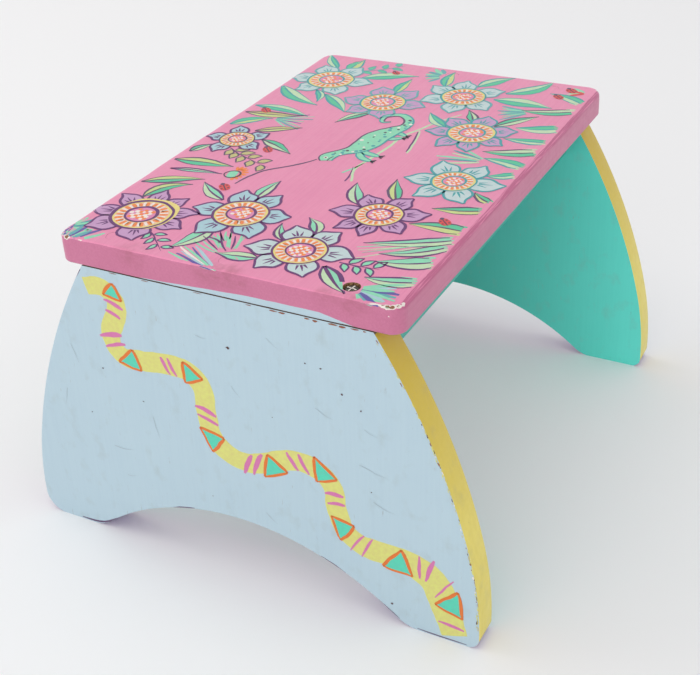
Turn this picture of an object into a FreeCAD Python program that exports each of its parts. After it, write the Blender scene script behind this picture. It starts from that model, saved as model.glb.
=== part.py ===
import FreeCAD, Part
import math
import os

import Sketcher

# A wooden footstool: a seat board on two arched end panels, with a rail under each long edge.
# Frame: millimetres, +Z up, +X along the seat board, origin on the floor under its middle.

DRIVING = [
    ("board_length", 350, "seat board along X"),
    ("board_width", 232, "seat board along Y"),
    ("board_thick", 18, "seat board along Z"),
    ("board_corner", 10, "rounding of the board's right upright corners"),
    ("board_worn_corner", 9, "rounding of its left upright corners, more worn"),
    ("board_top_round", 2, "rounding of the board's top edge"),
    ("board_base_round", 1, "rounding of the board's bottom edge"),
    ("total_height", 225, "floor to seat"),
    ("panel_thick", 20, "end panel"),
    ("panel_splay", 1.5, "lean of an end panel, in degrees"),
    ("panel_top_width", 197, "end panel where it meets the board"),
    ("panel_spare", 1, "blank left over above and below, planed off level"),
    ("side_radius", 440, "main arc of a panel's side"),
    ("side_centre_drop", 239, "centre of that arc below the board"),
    ("side_bend_drop", 140, "where the side tightens towards the foot"),
    ("foot_corner", 11, "outer corner of a foot"),
    ("toe_round", 25, "rounding between a foot and the arch"),
    ("arch_radius", 172.5, "arch between the feet"),
    ("arch_height", 45, "top of the arch above the floor"),
    ("rail_depth", 30, "rail along Z"),
    ("rail_thick", 18, "rail along Y"),
    ("rail_inset", 20, "rail's outer face in from the board's edge"),
    ("seat_screw_inset", 12.5, "seat screws in from the board's end"),
    ("seat_screw_spread", 80.5, "outer seat screws from the middle"),
    ("rail_screw_spread", 95, "rail screws from the middle"),
    ("head_width", 9.2, "screw head"),
    ("head_thick", 2.4, "screw head"),
    ("shank_width", 4.2, "screw shank"),
    ("shank_length", 34, "screw under its head"),
    ("tip_length", 5, "point of the screw"),
    ("cross_span", 4.8, "cross recess"),
    ("cross_slot", 1.1, "width of one slot of the cross recess"),
    ("cross_depth", 1.4, "depth of the cross recess"),
    ("bore_width", 10.4, "counterbore over a screw head"),
    ("seat_bore_depth", 4, "counterbore in the board"),
    ("rail_bore_depth", 8, "counterbore in a rail"),
    ("clear_width", 5, "clearance hole for a shank"),
    ("pilot_width", 4.4, "pilot hole that a screw bites in"),
    ("pilot_spare", 2, "pilot hole beyond the screw's point"),
    ("filler_width", 10.2, "filler over a screw head"),
]

START, END, CENTRE = 1, 2, 3
ORIGIN = (-1, 1)
LEVEL_AXIS = -1
UPRIGHT_AXIS = -2

doc = FreeCAD.newDocument("Footstool")
sheet = doc.addObject("Spreadsheet::Sheet", "sizes")
for row, (alias, value, meaning) in enumerate(DRIVING, start=1):
    sheet.set("A%d" % row, alias)
    sheet.set("B%d" % row, str(value))
    sheet.set("C%d" % row, meaning)
    sheet.setAlias("B%d" % row, alias)
doc.recompute()

nodes = []


def size(alias):
    """A driving dimension as a number, for start values and placements."""
    return float(getattr(sheet, alias))


def new_body(name):
    """A body whose Label is the name of its node."""
    body = doc.addObject("PartDesign::Body", name)
    body.Label = name
    nodes.append(body)
    return body


def origin_plane(body, role):
    """One of the body's own origin planes, such as XY_Plane."""
    return next(item for item in body.Origin.OriginFeatures if item.Role == role)


def new_sketch(body, name, role, lift=None):
    """A sketch on an origin plane, raised along the plane's normal by the expression lift."""
    sketch = body.newObject("Sketcher::SketchObject", name)
    sketch.AttachmentSupport = [(origin_plane(body, role), "")]
    sketch.MapMode = "FlatFace"
    if lift:
        sketch.setExpression("AttachmentOffset.Base.z", lift)
    return sketch


def fix(sketch, kind, *where):
    """A constraint without a size."""
    sketch.addConstraint(Sketcher.Constraint(kind, *where))


def measure(sketch, kind, value, to, *where):
    """A dimension that starts at the drawn value and follows the expression to."""
    index = sketch.addConstraint(Sketcher.Constraint(kind, *where, value))
    name = "size_%d" % index
    sketch.renameConstraint(index, name)
    sketch.setExpression("Constraints." + name, to)


def add_circle(sketch, x, y, x_to, y_to, width_to, width):
    """A circle whose centre and width follow expressions; None keeps a centre on the axis."""
    centre = FreeCAD.Vector(x, y, 0)
    circle = sketch.addGeometry(Part.Circle(centre, FreeCAD.Vector(0, 0, 1), width / 2))
    measure(sketch, "Diameter", width, width_to, circle)
    for kind, value, to, axis in (("DistanceX", x, x_to, UPRIGHT_AXIS),
                                  ("DistanceY", y, y_to, LEVEL_AXIS)):
        if to is None:
            fix(sketch, "PointOnObject", circle, CENTRE, axis)
        elif value < 0:
            measure(sketch, kind, -value, to, circle, CENTRE, *ORIGIN)
        else:
            measure(sketch, kind, value, to, *ORIGIN, circle, CENTRE)


def add_polygon(sketch, points):
    """Lines from point to point and back to the first, joined at their ends."""
    lines = []
    for first, second in zip(points, points[1:] + points[:1]):
        start = FreeCAD.Vector(first[0], first[1], 0)
        stop = FreeCAD.Vector(second[0], second[1], 0)
        lines.append(sketch.addGeometry(Part.LineSegment(start, stop)))
    for line, following in zip(lines, lines[1:] + lines[:1]):
        fix(sketch, "Coincident", line, END, following, START)
    return lines


def add_rectangle(sketch, length, width, length_to, width_to):
    """A rectangle about the origin."""
    x, y = length / 2, width / 2
    base, right, top, left = add_polygon(sketch, [(-x, -y), (x, -y), (x, y), (-x, y)])
    fix(sketch, "Horizontal", base)
    fix(sketch, "Horizontal", top)
    fix(sketch, "Vertical", right)
    fix(sketch, "Vertical", left)
    fix(sketch, "Symmetric", base, START, top, START, *ORIGIN)
    measure(sketch, "DistanceX", length, length_to, base, START, base, END)
    measure(sketch, "DistanceY", width, width_to, right, START, right, END)


def pad(body, sketch, name, length_to, back=False):
    """A pad whose length follows an expression."""
    feature = body.newObject("PartDesign::Pad", name)
    feature.Profile = sketch
    feature.setExpression("Length", length_to)
    feature.Reversed = back
    sketch.Visibility = False
    doc.recompute()
    return feature


def pocket(body, sketch, name, depth_to=None, back=False, both_ways=False):
    """A pocket of a given depth, or right through; it stops the build if it cuts nothing."""
    before = body.Shape.Volume
    feature = body.newObject("PartDesign::Pocket", name)
    feature.Profile = sketch
    feature.Reversed = back
    if depth_to:
        feature.setExpression("Length", depth_to)
    else:
        feature.Type = "ThroughAll"
    if both_ways:
        feature.SideType = "Symmetric"
    doc.recompute()
    if not body.Shape.Volume < before:
        raise RuntimeError(name + " cuts nothing")
    return feature


def place(body, x=0.0, y=0.0, z=0.0, rotation=None):
    """Put a body at its place in the stool."""
    body.Placement = FreeCAD.Placement(FreeCAD.Vector(x, y, z), rotation or FreeCAD.Rotation())


def point_angle(centre, point):
    """The direction from centre to point, in radians."""
    return math.atan2(point[1] - centre[1], point[0] - centre[0])


def along(centre, radius, angle):
    """The point at an angle on a circle."""
    return (centre[0] + radius * math.cos(angle), centre[1] + radius * math.sin(angle))


def seat_screw_places():
    """Name and place of each screw that holds the board down on an end panel."""
    reach = size("board_length") / 2 - size("seat_screw_inset")
    spread = size("seat_screw_spread")
    for end, x in (("left", -reach), ("right", reach)):
        for row_name, y in (("front", -spread), ("middle", 0.0), ("back", spread)):
            yield end + "_" + row_name, x, y


def rail_screw_places():
    """Name and place of each screw that holds a rail up against the board."""
    spread = size("rail_screw_spread")
    reach = size("board_width") / 2 - size("rail_inset") - size("rail_thick") / 2
    for side, y in (("front", -reach), ("back", reach)):
        for end, x in (("left", -spread), ("right", spread)):
            yield side + "_" + end, x, y


def edges_at_height(shape, height):
    """Names of the edges that lie wholly at one height."""
    names = []
    for index, edge in enumerate(shape.Edges, start=1):
        box = edge.BoundBox
        if abs(box.ZMin - height) < 1e-4 and abs(box.ZMax - height) < 1e-4:
            names.append("Edge%d" % index)
    return names


def upright_edges(shape, side):
    """Names of the straight edges that stand upright on one side of X = 0."""
    names = []
    for index, edge in enumerate(shape.Edges, start=1):
        box = edge.BoundBox
        straight = edge.Curve.TypeId == "Part::GeomLine"
        if straight and box.XLength < 1e-4 and box.YLength < 1e-4 and box.Center.x * side > 0:
            names.append("Edge%d" % index)
    return names


def fillet(body, base, edges, name, radius_to):
    """A rounding along named edges of the feature base."""
    feature = body.newObject("PartDesign::Fillet", name)
    feature.Base = (base, edges)
    feature.setExpression("Radius", radius_to)
    doc.recompute()
    return feature


def build_seat_board():
    """The seat board, rounded by hand, with a counterbored hole over each panel screw."""
    body = new_body("seat_board")
    outline = new_sketch(body, "board_outline", "XY_Plane")
    add_rectangle(outline, size("board_length"), size("board_width"),
                  "sizes.board_length", "sizes.board_width")
    slab = pad(body, outline, "board_slab", "sizes.board_thick")
    worn = fillet(body, slab, upright_edges(slab.Shape, -1), "board_worn_corners",
                  "sizes.board_worn_corner")
    corners = fillet(body, worn, upright_edges(worn.Shape, 1), "board_corners",
                     "sizes.board_corner")
    thick = size("board_thick")
    top = fillet(body, corners, edges_at_height(corners.Shape, thick), "board_top_edge",
                 "sizes.board_top_round")
    fillet(body, top, edges_at_height(top.Shape, 0.0), "board_base_edge",
           "sizes.board_base_round")

    screws = new_sketch(body, "seat_screw_centres", "XY_Plane", "sizes.board_thick")
    for _, x, y in seat_screw_places():
        add_circle(screws, x, y, "sizes.board_length / 2 - sizes.seat_screw_inset",
                   "sizes.seat_screw_spread" if y else None, "sizes.clear_width",
                   size("clear_width"))
    doc.recompute()
    before = body.Shape.Volume
    hole = body.newObject("PartDesign::Hole", "seat_screw_holes")
    hole.Profile = screws
    doc.recompute()
    hole.DepthType = "ThroughAll"
    hole.HoleCutType = "Counterbore"
    hole.HoleCutCustomValues = True
    hole.setExpression("Diameter", "sizes.clear_width")
    hole.setExpression("HoleCutDiameter", "sizes.bore_width")
    hole.setExpression("HoleCutDepth", "sizes.seat_bore_depth")
    doc.recompute()
    if not body.Shape.Volume < before:
        raise RuntimeError("the seat screw holes cut nothing")

    pilots = new_sketch(body, "rail_screw_centres", "XY_Plane")
    for _, x, y in rail_screw_places():
        add_circle(pilots, x, y, "sizes.rail_screw_spread",
                   "sizes.board_width / 2 - sizes.rail_inset - sizes.rail_thick / 2",
                   "sizes.pilot_width", size("pilot_width"))
    reach_to = "sizes.shank_length + sizes.rail_bore_depth + sizes.pilot_spare - sizes.rail_depth"
    pocket(body, pilots, "rail_screw_pilots", reach_to, back=True)
    place(body, z=size("total_height") - thick)


def panel_slope():
    """Length of a panel's outer face from the board down to the floor."""
    drop = size("total_height") - size("board_thick")
    return drop / math.cos(math.radians(size("panel_splay")))


def draw_half_panel(sketch):
    """The right half of a panel's outline: side, foot, toe and half of the arch."""
    over = size("panel_spare")
    slope = panel_slope()
    base = -slope
    half = size("panel_top_width") / 2
    side_radius = size("side_radius")
    side_up = over + size("side_centre_drop")
    side_centre = (half - math.sqrt(side_radius ** 2 - side_up ** 2), -size("side_centre_drop"))
    side_top = point_angle(side_centre, (half, over))
    bend = math.asin((size("side_centre_drop") - size("side_bend_drop")) / side_radius)
    bend_point = along(side_centre, side_radius, bend)

    corner = size("foot_corner")
    low_radius = (bend_point[1] - base - corner) / math.sin(bend)
    low_centre = along(bend_point, -low_radius, bend)
    foot_edge = along(low_centre, low_radius, 0.0)
    corner_centre = (foot_edge[0] - corner, foot_edge[1])

    arch_radius = size("arch_radius")
    arch_centre = (0.0, -(slope - size("arch_height") + arch_radius))
    toe = size("toe_round")
    toe_up = base + toe - arch_centre[1]
    toe_centre = (math.sqrt((arch_radius + toe) ** 2 - toe_up ** 2), base + toe)
    meet = point_angle(arch_centre, toe_centre)
    apex = arch_centre[1] + arch_radius

    def arc(centre, radius, first, last):
        middle = FreeCAD.Vector(centre[0], centre[1], 0)
        circle = Part.Circle(middle, FreeCAD.Vector(0, 0, 1), radius)
        return sketch.addGeometry(Part.ArcOfCircle(circle, first, last))

    def line(first, second):
        ends = [FreeCAD.Vector(first[0], first[1], 0), FreeCAD.Vector(second[0], second[1], 0)]
        return sketch.addGeometry(Part.LineSegment(*ends))

    top = line((0.0, over), (half, over))
    side = arc(side_centre, side_radius, bend, side_top)
    low = arc(low_centre, low_radius, 0.0, bend)
    foot = arc(corner_centre, corner, -math.pi / 2, 0.0)
    sole = line((corner_centre[0], base), (toe_centre[0], base))
    toe_arc = arc(toe_centre, toe, meet + math.pi, 1.5 * math.pi)
    arch = arc(arch_centre, arch_radius, meet, math.pi / 2)
    middle_line = line((0.0, apex), (0.0, over))

    slope_to = "(sizes.total_height - sizes.board_thick) / cos(sizes.panel_splay * 1 deg)"
    fix(sketch, "Coincident", middle_line, END, top, START)
    fix(sketch, "PointOnObject", middle_line, START, UPRIGHT_AXIS)
    fix(sketch, "PointOnObject", middle_line, END, UPRIGHT_AXIS)
    fix(sketch, "Horizontal", top)
    fix(sketch, "Coincident", top, END, side, END)
    fix(sketch, "Tangent", side, START, low, END)
    fix(sketch, "Tangent", low, START, foot, END)
    fix(sketch, "Tangent", foot, START, sole, START)
    fix(sketch, "Horizontal", sole)
    fix(sketch, "Tangent", sole, END, toe_arc, END)
    fix(sketch, "Tangent", toe_arc, START, arch, START)
    fix(sketch, "Coincident", arch, END, middle_line, START)
    fix(sketch, "PointOnObject", arch, CENTRE, UPRIGHT_AXIS)
    measure(sketch, "DistanceY", over, "sizes.panel_spare", *ORIGIN, top, START)
    measure(sketch, "DistanceX", half, "sizes.panel_top_width / 2", *ORIGIN, top, END)
    measure(sketch, "Radius", side_radius, "sizes.side_radius", side)
    measure(sketch, "DistanceY", -side_centre[1], "sizes.side_centre_drop",
            side, CENTRE, *ORIGIN)
    measure(sketch, "DistanceY", -bend_point[1], "sizes.side_bend_drop",
            side, START, *ORIGIN)
    measure(sketch, "Radius", corner, "sizes.foot_corner", foot)
    measure(sketch, "DistanceY", -base, slope_to,
            sole, START, *ORIGIN)
    measure(sketch, "Radius", toe, "sizes.toe_round", toe_arc)
    measure(sketch, "Radius", arch_radius, "sizes.arch_radius", arch)
    measure(sketch, "DistanceY", -arch_centre[1],
            slope_to + " - sizes.arch_height + sizes.arch_radius", arch, CENTRE, *ORIGIN)


def draw_levels(sketch):
    """What is planed off a leaning panel above the board's face and below the floor."""
    lean = math.tan(math.radians(size("panel_splay")))
    slope = panel_slope()
    margin = 5.0
    outer, inner = margin, -size("panel_thick") - margin
    for height, edge in ((0.0, margin), (-slope, -slope - margin)):
        cut = [(outer, height - outer * lean), (inner, height - inner * lean),
               (inner, edge), (outer, edge)]
        add_polygon(sketch, cut)


def build_end_panel(name, turn):
    """An end panel: half an outline padded and mirrored, levelled, and bored for its screws."""
    body = new_body(name)
    outline = new_sketch(body, name + "_half", "YZ_Plane")
    draw_half_panel(outline)
    half = pad(body, outline, name + "_half_slab", "sizes.panel_thick", back=True)
    whole = body.newObject("PartDesign::Mirrored", name + "_mirrored")
    whole.Originals = [half]
    whole.MirrorPlane = (origin_plane(body, "XZ_Plane"), [""])
    whole.Refine = True
    body.Tip = whole
    doc.recompute()
    levels = new_sketch(body, name + "_levels", "XZ_Plane")
    draw_levels(levels)
    doc.recompute()
    pocket(body, levels, name + "_planed", both_ways=True)

    lean = FreeCAD.Rotation(FreeCAD.Vector(0, 1, 0), -size("panel_splay"))
    upright = lean.inverted()
    into_panel = size("shank_length") - (size("board_thick") - size("seat_bore_depth"))
    depth = into_panel + size("pilot_spare")
    spread = size("seat_screw_spread")
    for label, y in (("front", -spread), ("middle", 0.0), ("back", spread)):
        before = body.Shape.Volume
        bore = body.newObject("PartDesign::SubtractiveCylinder", "%s_pilot_%s" % (name, label))
        bore.setExpression("Radius", "sizes.pilot_width / 2")
        bore.Height = depth
        foot = upright.multVec(FreeCAD.Vector(-size("seat_screw_inset"), 0, -depth))
        bore.Placement = FreeCAD.Placement(FreeCAD.Vector(foot.x, y, foot.z), upright)
        doc.recompute()
        if not body.Shape.Volume < before:
            raise RuntimeError("a pilot hole cuts nothing")
    reach = size("board_length") / 2
    facing = FreeCAD.Rotation(FreeCAD.Vector(0, 0, 1), turn)
    place(body, x=reach * math.cos(math.radians(turn)),
          z=size("total_height") - size("board_thick"), rotation=facing.multiply(lean))


def build_rail(name, side):
    """A rail between the panels: its ends follow their lean, its screws go up into the board."""
    body = new_body(name)
    splay = math.radians(size("panel_splay"))
    depth = size("rail_depth")
    top_half = size("board_length") / 2 - size("panel_thick") / math.cos(splay)
    base_half = top_half + depth * math.tan(splay)
    sketch = new_sketch(body, name + "_side", "XZ_Plane")
    base, right, top, left = add_polygon(sketch, [(-base_half, 0.0), (base_half, 0.0),
                                                  (top_half, depth), (-top_half, depth)])
    fix(sketch, "Horizontal", base)
    fix(sketch, "Symmetric", base, START, base, END, *ORIGIN)
    fix(sketch, "Symmetric", top, START, top, END, UPRIGHT_AXIS)
    half_to = "(sizes.board_length / 2 - sizes.panel_thick / cos(sizes.panel_splay * 1 deg)"
    lean_to = " + sizes.rail_depth * tan(sizes.panel_splay * 1 deg)"
    measure(sketch, "DistanceY", depth, "sizes.rail_depth", right, START, right, END)
    measure(sketch, "DistanceX", 2 * top_half, half_to + ") * 2", left, START, right, END)
    measure(sketch, "DistanceX", 2 * base_half, half_to + lean_to + ") * 2",
            base, START, base, END)
    bar = pad(body, sketch, name + "_bar", "sizes.rail_thick")
    bar.SideType = "Symmetric"
    doc.recompute()
    for label, width, depth_to in (("bore", "bore_width", "sizes.rail_bore_depth"),
                                   ("clear", "clear_width", None)):
        holes = new_sketch(body, "%s_%s_centres" % (name, label), "XY_Plane")
        for x in (-size("rail_screw_spread"), size("rail_screw_spread")):
            add_circle(holes, x, 0.0, "sizes.rail_screw_spread", None, "sizes." + width,
                       size(width))
        doc.recompute()
        pocket(body, holes, "%s_%s" % (name, label), depth_to, back=True)
    y = side * (size("board_width") / 2 - size("rail_inset") - size("rail_thick") / 2)
    place(body, y=y, z=size("total_height") - size("board_thick") - depth)


def build_screw(name, x, y, z, upside_down=False):
    """A cross-head wood screw; its frame lies on top of its head and it points down."""
    body = new_body(name)
    profile = new_sketch(body, name + "_profile", "XZ_Plane")
    head, thick = size("head_width") / 2, size("head_thick")
    shank, length, tip = size("shank_width") / 2, size("shank_length"), size("tip_length")
    end = thick + length
    face, rim, seat, stem, point, middle_line = add_polygon(profile, [
        (0.0, 0.0), (head, 0.0), (head, -thick), (shank, -thick), (shank, tip - end), (0.0, -end)])
    fix(profile, "Coincident", face, START, *ORIGIN)
    for line in (face, seat):
        fix(profile, "Horizontal", line)
    for line in (rim, stem, middle_line):
        fix(profile, "Vertical", line)
    measure(profile, "DistanceX", head, "sizes.head_width / 2", *ORIGIN, face, END)
    measure(profile, "DistanceY", thick, "sizes.head_thick", rim, END, *ORIGIN)
    measure(profile, "DistanceX", shank, "sizes.shank_width / 2", *ORIGIN, stem, END)
    measure(profile, "DistanceY", end - tip,
            "sizes.head_thick + sizes.shank_length - sizes.tip_length", stem, END, *ORIGIN)
    measure(profile, "DistanceY", end, "sizes.head_thick + sizes.shank_length",
            point, END, *ORIGIN)
    turned = body.newObject("PartDesign::Revolution", name + "_turned")
    turned.Profile = profile
    turned.ReferenceAxis = (profile, ["V_Axis"])
    turned.Angle = 360.0
    doc.recompute()
    cross = new_sketch(body, name + "_cross", "XY_Plane")
    span, slot = size("cross_span") / 2, size("cross_slot") / 2
    add_polygon(cross, [(-span, -slot), (-slot, -slot), (-slot, -span), (slot, -span),
                        (slot, -slot), (span, -slot), (span, slot), (slot, slot),
                        (slot, span), (-slot, span), (-slot, slot), (-span, slot)])
    doc.recompute()
    pocket(body, cross, name + "_recess", "sizes.cross_depth")
    turn = FreeCAD.Rotation(FreeCAD.Vector(1, 0, 0), 180 if upside_down else 0)
    place(body, x, y, z, turn)


def build_filler(name, x, y):
    """A disc of wood filler that hides a screw head, level with the seat."""
    body = new_body(name)
    disc = new_sketch(body, name + "_disc", "XY_Plane")
    add_circle(disc, 0.0, 0.0, None, None, "sizes.filler_width", size("filler_width"))
    pad(body, disc, name + "_pad", "sizes.seat_bore_depth - sizes.head_thick", back=True)
    place(body, x, y, size("total_height"))


def write_parts():
    """Check every object, then write each node's STEP file."""
    doc.recompute()
    for item in doc.Objects:
        if "Invalid" in item.State or "Error" in item.State:
            raise RuntimeError("%s: %s" % (item.Name, item.State))
    for body in nodes:
        if body.Shape.isNull() or not body.Shape.isValid() or len(body.Shape.Solids) != 1:
            raise RuntimeError(body.Label + " has no sound solid")
    os.makedirs("parts", exist_ok=True)
    for body in nodes:
        body.Shape.exportStep("parts/%s.step" % body.Label)
        box = body.Shape.optimalBoundingBox(False, False)
        print("%-26s %10.1f mm3  %s" % (body.Label, body.Shape.Volume, [
            round(value, 2) for value in (box.XMin, box.YMin, box.ZMin,
                                          box.XMax, box.YMax, box.ZMax)]))


build_seat_board()
build_end_panel("left_end_panel", 180.0)
build_end_panel("right_end_panel", 0.0)
build_rail("front_rail", -1)
build_rail("back_rail", 1)
seat_level = size("total_height") - size("seat_bore_depth") + size("head_thick")
for label, x, y in seat_screw_places():
    build_screw("seat_screw_" + label, x, y, seat_level)
    if label != "left_front":
        build_filler("screw_filler_" + label, x, y)
rail_screw_level = (size("total_height") - size("board_thick") - size("rail_depth")
                    + size("rail_bore_depth") - size("head_thick"))
for label, x, y in rail_screw_places():
    build_screw("rail_screw_" + label, x, y, rail_screw_level, upside_down=True)
write_parts()
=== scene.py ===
import logging
import math
import random
from dataclasses import dataclass, field
from enum import Enum
from typing import Callable

import bmesh
import bpy
from mathutils import Matrix, Vector, noise
from mathutils.bvhtree import BVHTree


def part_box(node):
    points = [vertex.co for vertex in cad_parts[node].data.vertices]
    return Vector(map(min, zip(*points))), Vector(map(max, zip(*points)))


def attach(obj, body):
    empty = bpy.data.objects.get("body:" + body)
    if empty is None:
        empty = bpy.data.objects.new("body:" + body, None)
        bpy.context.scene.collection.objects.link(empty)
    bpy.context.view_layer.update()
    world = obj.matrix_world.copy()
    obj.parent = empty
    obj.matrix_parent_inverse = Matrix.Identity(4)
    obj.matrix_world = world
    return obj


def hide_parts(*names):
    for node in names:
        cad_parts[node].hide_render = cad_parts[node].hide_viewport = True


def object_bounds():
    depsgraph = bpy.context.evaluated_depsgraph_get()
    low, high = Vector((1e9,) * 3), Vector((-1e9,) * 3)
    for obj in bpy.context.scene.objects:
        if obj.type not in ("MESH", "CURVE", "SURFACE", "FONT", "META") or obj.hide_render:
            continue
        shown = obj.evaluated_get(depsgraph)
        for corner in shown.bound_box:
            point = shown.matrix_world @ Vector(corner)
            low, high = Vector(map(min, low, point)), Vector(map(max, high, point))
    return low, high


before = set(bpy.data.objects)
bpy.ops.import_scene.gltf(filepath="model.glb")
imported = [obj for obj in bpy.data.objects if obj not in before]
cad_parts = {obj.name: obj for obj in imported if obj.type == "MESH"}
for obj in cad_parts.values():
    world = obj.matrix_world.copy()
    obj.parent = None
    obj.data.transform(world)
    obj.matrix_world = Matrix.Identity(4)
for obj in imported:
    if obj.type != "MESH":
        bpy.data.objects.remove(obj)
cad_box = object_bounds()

log = logging.getLogger("footstool")

MM = 0.001
SEAT_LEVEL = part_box("seat_board")[1][2]
ART_DEPTH = 0.35 * MM

Flat = tuple[float, float]
Path = Callable[[float], Vector]
Width = Callable[[float], float]


def linear(hex_colour: str) -> tuple[float, float, float, float]:
    """Turn an sRGB hex colour to linear light.

    Args:
        hex_colour: six hex digits after a hash.

    Returns:
        Red, green, blue and an alpha of 1.
    """
    values = [int(hex_colour[i : i + 2], 16) / 255 for i in (1, 3, 5)]
    light = [v / 12.92 if v <= 0.04045 else ((v + 0.055) / 1.055) ** 2.4 for v in values]
    return (light[0], light[1], light[2], 1.0)


def add_node(tree: bpy.types.NodeTree, kind: str, settings: dict | None = None, **inputs) -> bpy.types.Node:
    """Add a node, set its properties and fill or link its sockets.

    Args:
        tree: the material's node tree.
        kind: the node's type.
        settings: properties of the node by name.
        inputs: a socket's name, with _ for a space, or _ and its index; a value or a socket to link.

    Returns:
        The new node.
    """
    node = tree.nodes.new(kind)
    for name, value in (settings or {}).items():
        setattr(node, name, value)
    for key, value in inputs.items():
        target = node.inputs[int(key[1:])] if key[0] == "_" else node.inputs[key.replace("_", " ")]
        if isinstance(value, bpy.types.NodeSocket):
            tree.links.new(value, target)
        else:
            target.default_value = value
    return node


def new_material(name: str) -> tuple[bpy.types.Material, bpy.types.NodeTree, bpy.types.Node]:
    """Make a material that holds only its principled shader.

    Args:
        name: the material's name.

    Returns:
        The material, its tree and the shader node.
    """
    material = bpy.data.materials.new(name)
    material.use_nodes = True
    tree = material.node_tree
    shader = next(node for node in tree.nodes if node.type == "BSDF_PRINCIPLED")
    return material, tree, shader


def grain(tree: bpy.types.NodeTree, cell_mm: tuple[float, float, float], detail: float = 3.0, shift: float = 0.0) -> bpy.types.NodeSocket:
    """A noise whose cells have real sizes along X, Y and Z.

    Args:
        tree: the material's node tree.
        cell_mm: size of one cell of the pattern along each axis.
        detail: finer octaves added.
        shift: moves the pattern so that two grains differ.

    Returns:
        A value about 0.5.
    """
    place = add_node(tree, "ShaderNodeTexCoord")
    scale = [1.0 / (size * MM) for size in cell_mm]
    mapped = add_node(tree, "ShaderNodeMapping", Vector=place.outputs["Object"], Scale=scale, Location=(shift, shift * 0.7, -shift))
    pattern = add_node(tree, "ShaderNodeTexNoise", Vector=mapped.outputs[0], Scale=1.0, Detail=detail, Roughness=0.55)
    return pattern.outputs["Fac"]


class Run(Enum):
    """The way a brush was drawn over a surface, as the size of its marks along X, Y and Z in mm."""

    ALONG = (70.0, 1.1, 1.1)
    ACROSS = (2.0, 60.0, 2.0)
    DOWN = (3.0, 1.6, 60.0)


@dataclass(frozen=True)
class Coat:
    """One coat of water-based enamel: its colour and how far bristle marks and patches shade it."""

    colour: str
    shade: str
    run: Run
    marks: float = 0.35

    def colour_nodes(self, tree: bpy.types.NodeTree) -> bpy.types.NodeSocket:
        """Colour of the coat, thinner and darker where the bristles dragged.

        Args:
            tree: the material's node tree.

        Returns:
            The colour socket.
        """
        streaks = grain(tree, self.run.value, 4.0)
        patches = grain(tree, (38.0, 38.0, 38.0), 2.0, 3.1)
        both = add_node(tree, "ShaderNodeMath", {"operation": "MULTIPLY_ADD"}, _0=streaks, _1=0.6, _2=0.0)
        total = add_node(tree, "ShaderNodeMath", {"operation": "MULTIPLY_ADD"}, _0=patches, _1=0.4, _2=both.outputs[0])
        amount = add_node(tree, "ShaderNodeMapRange", _0=total.outputs[0], _1=0.38, _2=0.66, _3=0.0, _4=self.marks)
        mixed = add_node(tree, "ShaderNodeMix", {"data_type": "RGBA"}, _0=amount.outputs[0], _6=linear(self.colour), _7=linear(self.shade))
        return mixed.outputs[2]


def ragged(tree: bpy.types.NodeTree, value: bpy.types.NodeSocket, limit: float, cell_mm: float, rough: float, shift: float = 0.0) -> bpy.types.NodeSocket:
    """A mask that is 1 where a value passes a limit, with a torn border.

    Args:
        tree: the material's node tree.
        value: the value to test.
        limit: where the border lies.
        cell_mm: size of the border's teeth.
        rough: how far the teeth move the border, in units of the value.
        shift: moves the pattern of teeth.

    Returns:
        The mask, from 0 to 1.
    """
    teeth = grain(tree, (cell_mm, cell_mm, cell_mm), 4.0, shift)
    moved = add_node(tree, "ShaderNodeMath", {"operation": "MULTIPLY_ADD"}, _0=teeth, _1=2.0 * rough, _2=value)
    edge = limit + rough
    mask = add_node(tree, "ShaderNodeMapRange", _0=moved.outputs[0], _1=edge - 0.02 * rough - 1e-4, _2=edge + 0.02 * rough + 1e-4)
    return mask.outputs[0]


def layer(tree: bpy.types.NodeTree, mask: bpy.types.NodeSocket, under: bpy.types.NodeSocket, over: bpy.types.NodeSocket | tuple) -> bpy.types.NodeSocket:
    """Lay one colour over another where a mask is 1, and return the colour socket."""
    mixed = add_node(tree, "ShaderNodeMix", {"data_type": "RGBA"}, _0=mask, _6=under, _7=over)
    return mixed.outputs[2]


def satin(tree: bpy.types.NodeTree, shader: bpy.types.Node, colour: bpy.types.NodeSocket, run: Run, roughness: float = 0.42, depth_mm: float = 0.05) -> None:
    """Finish a painted surface: satin sheen, bristle ridges and faint orange peel.

    Args:
        tree: the material's node tree.
        shader: the principled shader.
        colour: the surface colour.
        run: the way the brush was drawn.
        roughness: middle roughness of the dry paint.
        depth_mm: height of the bristle ridges.
    """
    ridges = grain(tree, run.value, 5.0, 1.7)
    peel = grain(tree, (4.0, 4.0, 4.0), 3.0, 5.2)
    height = add_node(tree, "ShaderNodeMath", {"operation": "MULTIPLY_ADD"}, _0=peel, _1=0.6, _2=ridges)
    bump = add_node(tree, "ShaderNodeBump", Height=height.outputs[0], Strength=0.6, Distance=depth_mm * MM)
    gloss = add_node(tree, "ShaderNodeMapRange", _0=peel, _1=0.3, _2=0.7, _3=roughness - 0.06, _4=roughness + 0.08)
    tree.links.new(colour, shader.inputs["Base Color"])
    tree.links.new(gloss.outputs[0], shader.inputs["Roughness"])
    tree.links.new(bump.outputs[0], shader.inputs["Normal"])
    shader.inputs["IOR"].default_value = 1.48
    shader.inputs["Coat Weight"].default_value = 0.08
    shader.inputs["Coat Roughness"].default_value = 0.3


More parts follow.
